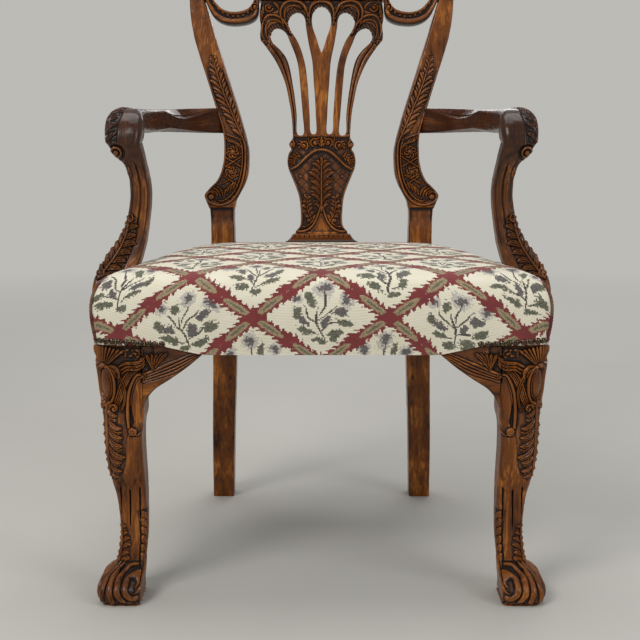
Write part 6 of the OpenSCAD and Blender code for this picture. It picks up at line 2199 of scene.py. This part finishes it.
for i, x in enumerate(web_xs):
    y0, y1 = RAIL_Y + 4.0, REAR_RAIL_Y + (18.0 if abs(x) > 90 else -2.0)
    rise = [(y0, -1.4), (y0 + 24, -1.2)] + [(y, 1.0 if (i + j) % 2 == 0 else -1.0)
                                            for j, y in enumerate(web_ys)]
    rise += [(REAR_RAIL_Y - 8, -1.2), (y1, -1.4)]
    piece = strip(f"web_long_{i + 1}", webbing_finish,
                  lambda t: (np.stack([0 * t + x - WEB_W / 2, y0 + (y1 - y0) * t], -1),
                             np.stack([0 * t + x + WEB_W / 2, y0 + (y1 - y0) * t], -1)),
                  lambda px, py: WEB_Z + curve(rise, py), 90, 8)
    declare(piece, "webbing_long", (y1 - y0) / 1000)
for j, y in enumerate(web_ys):
    half = side_face(y + WEB_W / 2) - 12.0
    rise = [(-half, -1.2)] + [(x, -1.0 if (i + j) % 2 == 0 else 1.0)
                              for i, x in enumerate(web_xs)] + [(half, -1.2)]
    piece = strip(f"web_cross_{j + 1}", webbing_finish,
                  lambda t: (np.stack([half * (2 * t - 1), 0 * t + y + WEB_W / 2], -1),
                             np.stack([half * (2 * t - 1), 0 * t + y - WEB_W / 2], -1)),
                  lambda px, py: WEB_Z + curve(rise, px), 90, 8)
    declare(piece, "webbing_cross", 2 * half / 1000)


def tapered(half, y0, y1):
    def edges(t):
        y = y0 + (y1 - y0) * t
        return np.stack([-half(y), y], -1), np.stack([half(y), y], -1)
    return edges


sack = strip("sackcloth_sheet", hessian_finish,
             tapered(lambda y: np.where(y < POST_BACK, RAIL_X, side_face(y)) - 22.0,
                     RAIL_Y + 6.0, STILE_Y - 6.0),
             lambda x, y: 436.9 - 0.4 * np.sin(x / 38) * np.sin(y / 38), 80, 60)
declare(sack, "hessian", round((STILE_Y - 12.0 - RAIL_Y) / 1000, 4))


def dust_half(y):
    """Half the width of the cloth under the frame."""
    return np.interp(y, [RAIL_Y + 15, -112, 182.4, 182.6, 200], [218.4, 250, 170, 146, 146])


dust = strip("bottom_cloth", dust_finish, tapered(dust_half, RAIL_Y + 15.0, REAR_RAIL_Y + 9.0),
             lambda x, y: 364.5 - 3.5 * np.cos(np.clip(x / dust_half(y), -1, 1) * math.pi / 2)
             * np.cos(np.clip((y + 18) / 218, -1, 1) * math.pi / 2), 110, 70)
declare(dust, "dust_cover", round((REAR_RAIL_Y - 6.0 - RAIL_Y) / 1000, 4))
print("sheets under the seat: sackcloth", round(spread(sack), 3), "m2, bottom cloth",
      round(spread(dust), 3), "m2")


# %% The stuffing
def seat_ring(inset, count):
    """The seat's outline as one ring of four sides."""
    sides = (("front", 0, 1), ("right", 0, 1), ("back", 1, 0), ("left", 1, 0))
    return np.concatenate([
        np.stack(seat_side(np.linspace(a, b, count, endpoint=False), inset, part), 1)
        for part, a, b in sides])


def stuffing_pad():
    levels = ([(438.2, 34.0), (438.2, 12.0), (441, 6.0), (446, 3.0)]
              + [(z, inset) for z, inset in SEAT_LEVELS if z > 450] + [(484.2, 165), (484.3, 195)])
    rings = []
    for z, inset in levels:
        xy = seat_ring(inset + PAD_SINK, 70)
        top = np.full(len(xy), z - PAD_SINK * np.clip((z - 446) / 24, 0, 1))
        rings.append(np.column_stack([xy, top - seat_drop(xy[:, 1], top)]))
    points = np.array(rings)
    for _ in range(6):
        g = notch(points) + 1.2
        gx = notch(points + [0.05, 0, 0]) - notch(points - [0.05, 0, 0])
        gy = notch(points + [0, 0.05, 0]) - notch(points - [0, 0.05, 0])
        size = np.maximum(gx * gx + gy * gy, 0.0025)
        push = np.where(g > 0, g, 0) * 0.1 / size
        points[..., 0] -= push * gx
        points[..., 1] -= push * gy
    ends = [[0, points[0, :, 1].mean(), 438.2], [0, points[-1, :, 1].mean(), 484.3 - PAD_SINK]]
    return make_piece("stuffing_pad", *closed_tube(points, ends), calico_finish)


pad = stuffing_pad()
stands_for(pad, "seat_stuffing")
round(spread(cover), 4)
print("cover", round(spread(cover), 4), "m2")

# %% [markdown]
# ## Cords and nails
# The seam at each front corner is hidden by a cord sewn into it. A close row of domed brass
# nails pins the cover to the knees, from the front rail round to the arm supports. Both are laid
# on the cover as it stands after stretching, found by looking at it from outside.

# %% Where the cover's surface is
LOOK_FROM = 12.0
cover_tree = BVHTree.FromObject(cover, bpy.context.evaluated_depsgraph_get())


def on_cover(x, y, z, heading):
    """The cover's surface behind a place, looking along a flat heading into the seat."""
    start = Vector((x - heading[0] * LOOK_FROM, y - heading[1] * LOOK_FROM, z)) / 1000
    hit = cover_tree.ray_cast(start, Vector((heading[0], heading[1], 0.0)), 0.03)[0]
    return None if hit is None else np.array(hit) * 1000


# %% The corner cords
def corner_cord():
    rings = []
    heading = np.array([1.0, 1.0]) / math.sqrt(2)
    turn = np.radians(np.arange(0, 360, 24))
    for z in np.arange(383.0, 466.0, 1.1):
        inset = float(seat_inset(z)) - 1.6
        x, y = -SEAT_HALF_FRONT + inset + SEAT_R, FRONT_Y + inset + SEAT_R
        x, y = x - SEAT_R * heading[0], y - SEAT_R * heading[1]
        x *= (seat_half(y) - inset) / (SEAT_HALF_FRONT - inset)
        hit = on_cover(x, y, z, heading)
        if hit is not None:
            x, y = hit[:2] - heading * 1.2
        r = 2.3 * (1 + 0.12 * np.sin(2 * turn + z * 1.4))
        rings.append(np.stack([x + r * np.cos(turn), y + r * np.sin(turn), 0 * turn + z], 1))
    return make_piece("corner_cord_left", *closed_tube(np.array(rings)), cord_finish)


def wool_cord_finish():
    f = Finish("wool_cord")
    where = f.add("TexCoord", out=3)
    strand = f.noise(f.stretch(where, (1.0, 1.0, 2.2)), 420.0, 2.0)
    patch = f.noise(where, 55.0, 1.0)
    colour = f.mix(patch.ramp(0.40, 0.62), (0.20, 0.13, 0.075), RED_DARK)
    colour = f.mix(strand.ramp(0.45, 0.6) * 0.6, colour, (0.05, 0.03, 0.02))
    return f.surface(Base_Color=colour, Roughness=0.92, Normal=f.bump(strand, 0.0008, 0.8),
                     Specular_IOR_Level=0.2)


cord_finish = wool_cord_finish()
both(corner_cord(), "corner_welt_left")

# %% The nails
NAIL_Z, NAIL_RISE, NAIL_PITCH, NAIL_GAP = 381.0, 5.0, 9.8, 0.75
NAIL_ARC = SEAT_R * math.pi / 2
FRONT_NAILS, SIDE_NAILS = 8, 9


def nail_spot(d):
    """Place and outward heading of a nail, by its distance along the row from the corner."""
    z = NAIL_Z + NAIL_RISE * max(0.0, min(1.0, (d + 60) / 60))
    inset = float(straight(SEAT_LEVELS, z))
    cx, cy = SEAT_HALF_FRONT - inset - SEAT_R, FRONT_Y + inset + SEAT_R
    r = SEAT_R + NAIL_GAP
    if d < 0:
        return -cx - d, cy - r, z, 0.0
    if d < NAIL_ARC:
        a = d / NAIL_ARC * math.pi / 2
        y = cy - r * math.cos(a)
        return -(cx + r * math.sin(a)) * seat_half(y) / SEAT_HALF_FRONT, y, z, -a
    y = cy + d - NAIL_ARC
    return -seat_half(y) + inset - NAIL_GAP, y, z, -math.pi / 2 - math.atan(SEAT_SLOPE)


def nail_finish():
    f = Finish("rubbed_brass")
    where = f.add("TexCoord", out=3)
    tarnish = f.noise(where, 300.0, 4.0, 0.6)
    colour = f.ramp(tarnish, [(0.4, (0.045, 0.034, 0.024)), (0.62, (0.14, 0.105, 0.070)),
                              (0.78, (0.38, 0.30, 0.19))])
    return f.surface(Base_Color=colour, Metallic=1.0, Roughness=0.16 + tarnish * 0.18,
                     Normal=f.bump(tarnish, 0.0003, 0.5))


def knee_nails():
    """Domed heads, each a lathe of seven rings with a thin rim."""
    profile = [(4.5, 0.0), (4.55, 0.35), (4.2, 1.0), (3.5, 1.75), (2.5, 2.35), (1.3, 2.75),
               (0.45, 2.9)]
    turn = np.radians(np.arange(0, 360, 20))
    columns = len(turn)
    points, faces, count = [], [], 0
    for sign in (-1, 1):
        for k in range(-FRONT_NAILS, SIDE_NAILS + 1):
            x, y, z, heading = nail_spot(k * NAIL_PITCH)
            out = np.array([math.sin(heading), -math.cos(heading), 0.10])
            out /= np.linalg.norm(out)
            hit = on_cover(x, y, z + 1.5, -out[:2])
            foot = np.array([x, y, z]) if hit is None else np.array([hit[0], hit[1], z])
            foot = foot - out * 0.3
            across = np.cross([0.0, 0.0, 1.0], out)
            across /= np.linalg.norm(across)
            up = np.cross(out, across)
            rings = np.array([foot + r * (np.cos(turn)[:, None] * across
                                          + np.sin(turn)[:, None] * up) + h * out
                              for r, h in profile])
            tip = foot + 3.0 * out
            block = np.vstack([rings.reshape(-1, 3), tip, foot])
            if sign > 0:
                block[:, 0] *= -1
            rows = len(profile)
            parts = [tube_faces(rows, columns),
                     fan_faces((rows - 1) * columns, columns, rows * columns),
                     fan_faces(0, columns, rows * columns + 1, flip=True)]
            faces += [(p[:, ::-1] if sign > 0 else p) + count for p in parts]
            points.append(block)
            count += len(block)
    quads = np.vstack([f for f in faces if f.shape[1] == 4])
    thirds = np.vstack([f for f in faces if f.shape[1] == 3])
    return make_piece("knee_nail_heads", np.vstack(points), [quads, thirds], nail_finish(),
                      sharp=60)


nails = knee_nails()
stands_for(nails, "knee_nails")
print("nails", 2 * (FRONT_NAILS + SIDE_NAILS + 1))

# %% [markdown]
# ## The frame inside
# The rails, blocks, pegs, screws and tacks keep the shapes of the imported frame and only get
# finishes: plain beech with its flecks, darkened steel and blued iron.


# %% Finishes of the frame
def plain_wood(name, along, dark, mid, light, rough=0.55):
    """Unpolished wood whose grain runs along one axis of the chair."""
    f = Finish(name)
    where = f.add("TexCoord", out=3)
    scale = tuple(0.06 if axis == along else 1.0 for axis in "xyz")
    broad = f.noise(f.stretch(where, scale), 60.0, 4.0, 0.6, 0.5)
    fleck = f.noise(f.stretch(where, tuple(0.25 if axis == along else 1.0 for axis in "xyz")),
                    900.0, 1.0)
    colour = f.ramp(broad, [(0.3, dark), (0.5, mid), (0.72, light)])
    colour = f.mix(fleck.ramp(0.6, 0.7) * 0.5, colour, dark)
    return f.surface(Base_Color=colour, Roughness=rough + (fleck - 0.5) * 0.2,
                     Normal=f.bump(fleck + broad, 0.0003, 0.5))


def metal(name, dark, light, rough, scale):
    f = Finish(name)
    where = f.add("TexCoord", out=3)
    wear = f.noise(where, scale, 4.0, 0.65)
    return f.surface(Base_Color=f.mix(wear.ramp(0.35, 0.7), dark, light), Metallic=1.0,
                     Roughness=rough + (wear - 0.5) * 0.3, Normal=f.bump(wear, 0.0002, 0.5))


BEECH = ((0.42, 0.29, 0.16), (0.55, 0.41, 0.25), (0.66, 0.52, 0.34))
across_beech = plain_wood("beech_across", "x", *BEECH)
along_beech = plain_wood("beech_along", "y", *BEECH)
plug_walnut = plain_wood("plug_walnut", "x", (0.04, 0.014, 0.006), (0.12, 0.042, 0.015),
                         (0.26, 0.10, 0.035), 0.35)
steel = metal("darkened_steel", (0.16, 0.15, 0.14), (0.42, 0.40, 0.37), 0.42, 260.0)
iron = metal("blued_iron", (0.035, 0.037, 0.045), (0.12, 0.12, 0.13), 0.45, 320.0)
carried = {"front_rail": across_beech, "rear_rail": across_beech, "side_rail_left": along_beech,
           "side_rail_right": along_beech, "corner_block_front_left": across_beech,
           "corner_block_front_right": across_beech, "corner_block_rear_left": across_beech,
           "corner_block_rear_right": across_beech, "rail_pegs": along_beech,
           "block_screws": steel, "arm_screws": steel, "support_screws": steel,
           "arm_screw_plugs": plug_walnut, "webbing_tacks": iron}
for node, finish in carried.items():
    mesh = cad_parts[node].data
    mesh.materials.clear()
    mesh.materials.append(finish)
print("finishes given to", len(carried), "frame nodes")
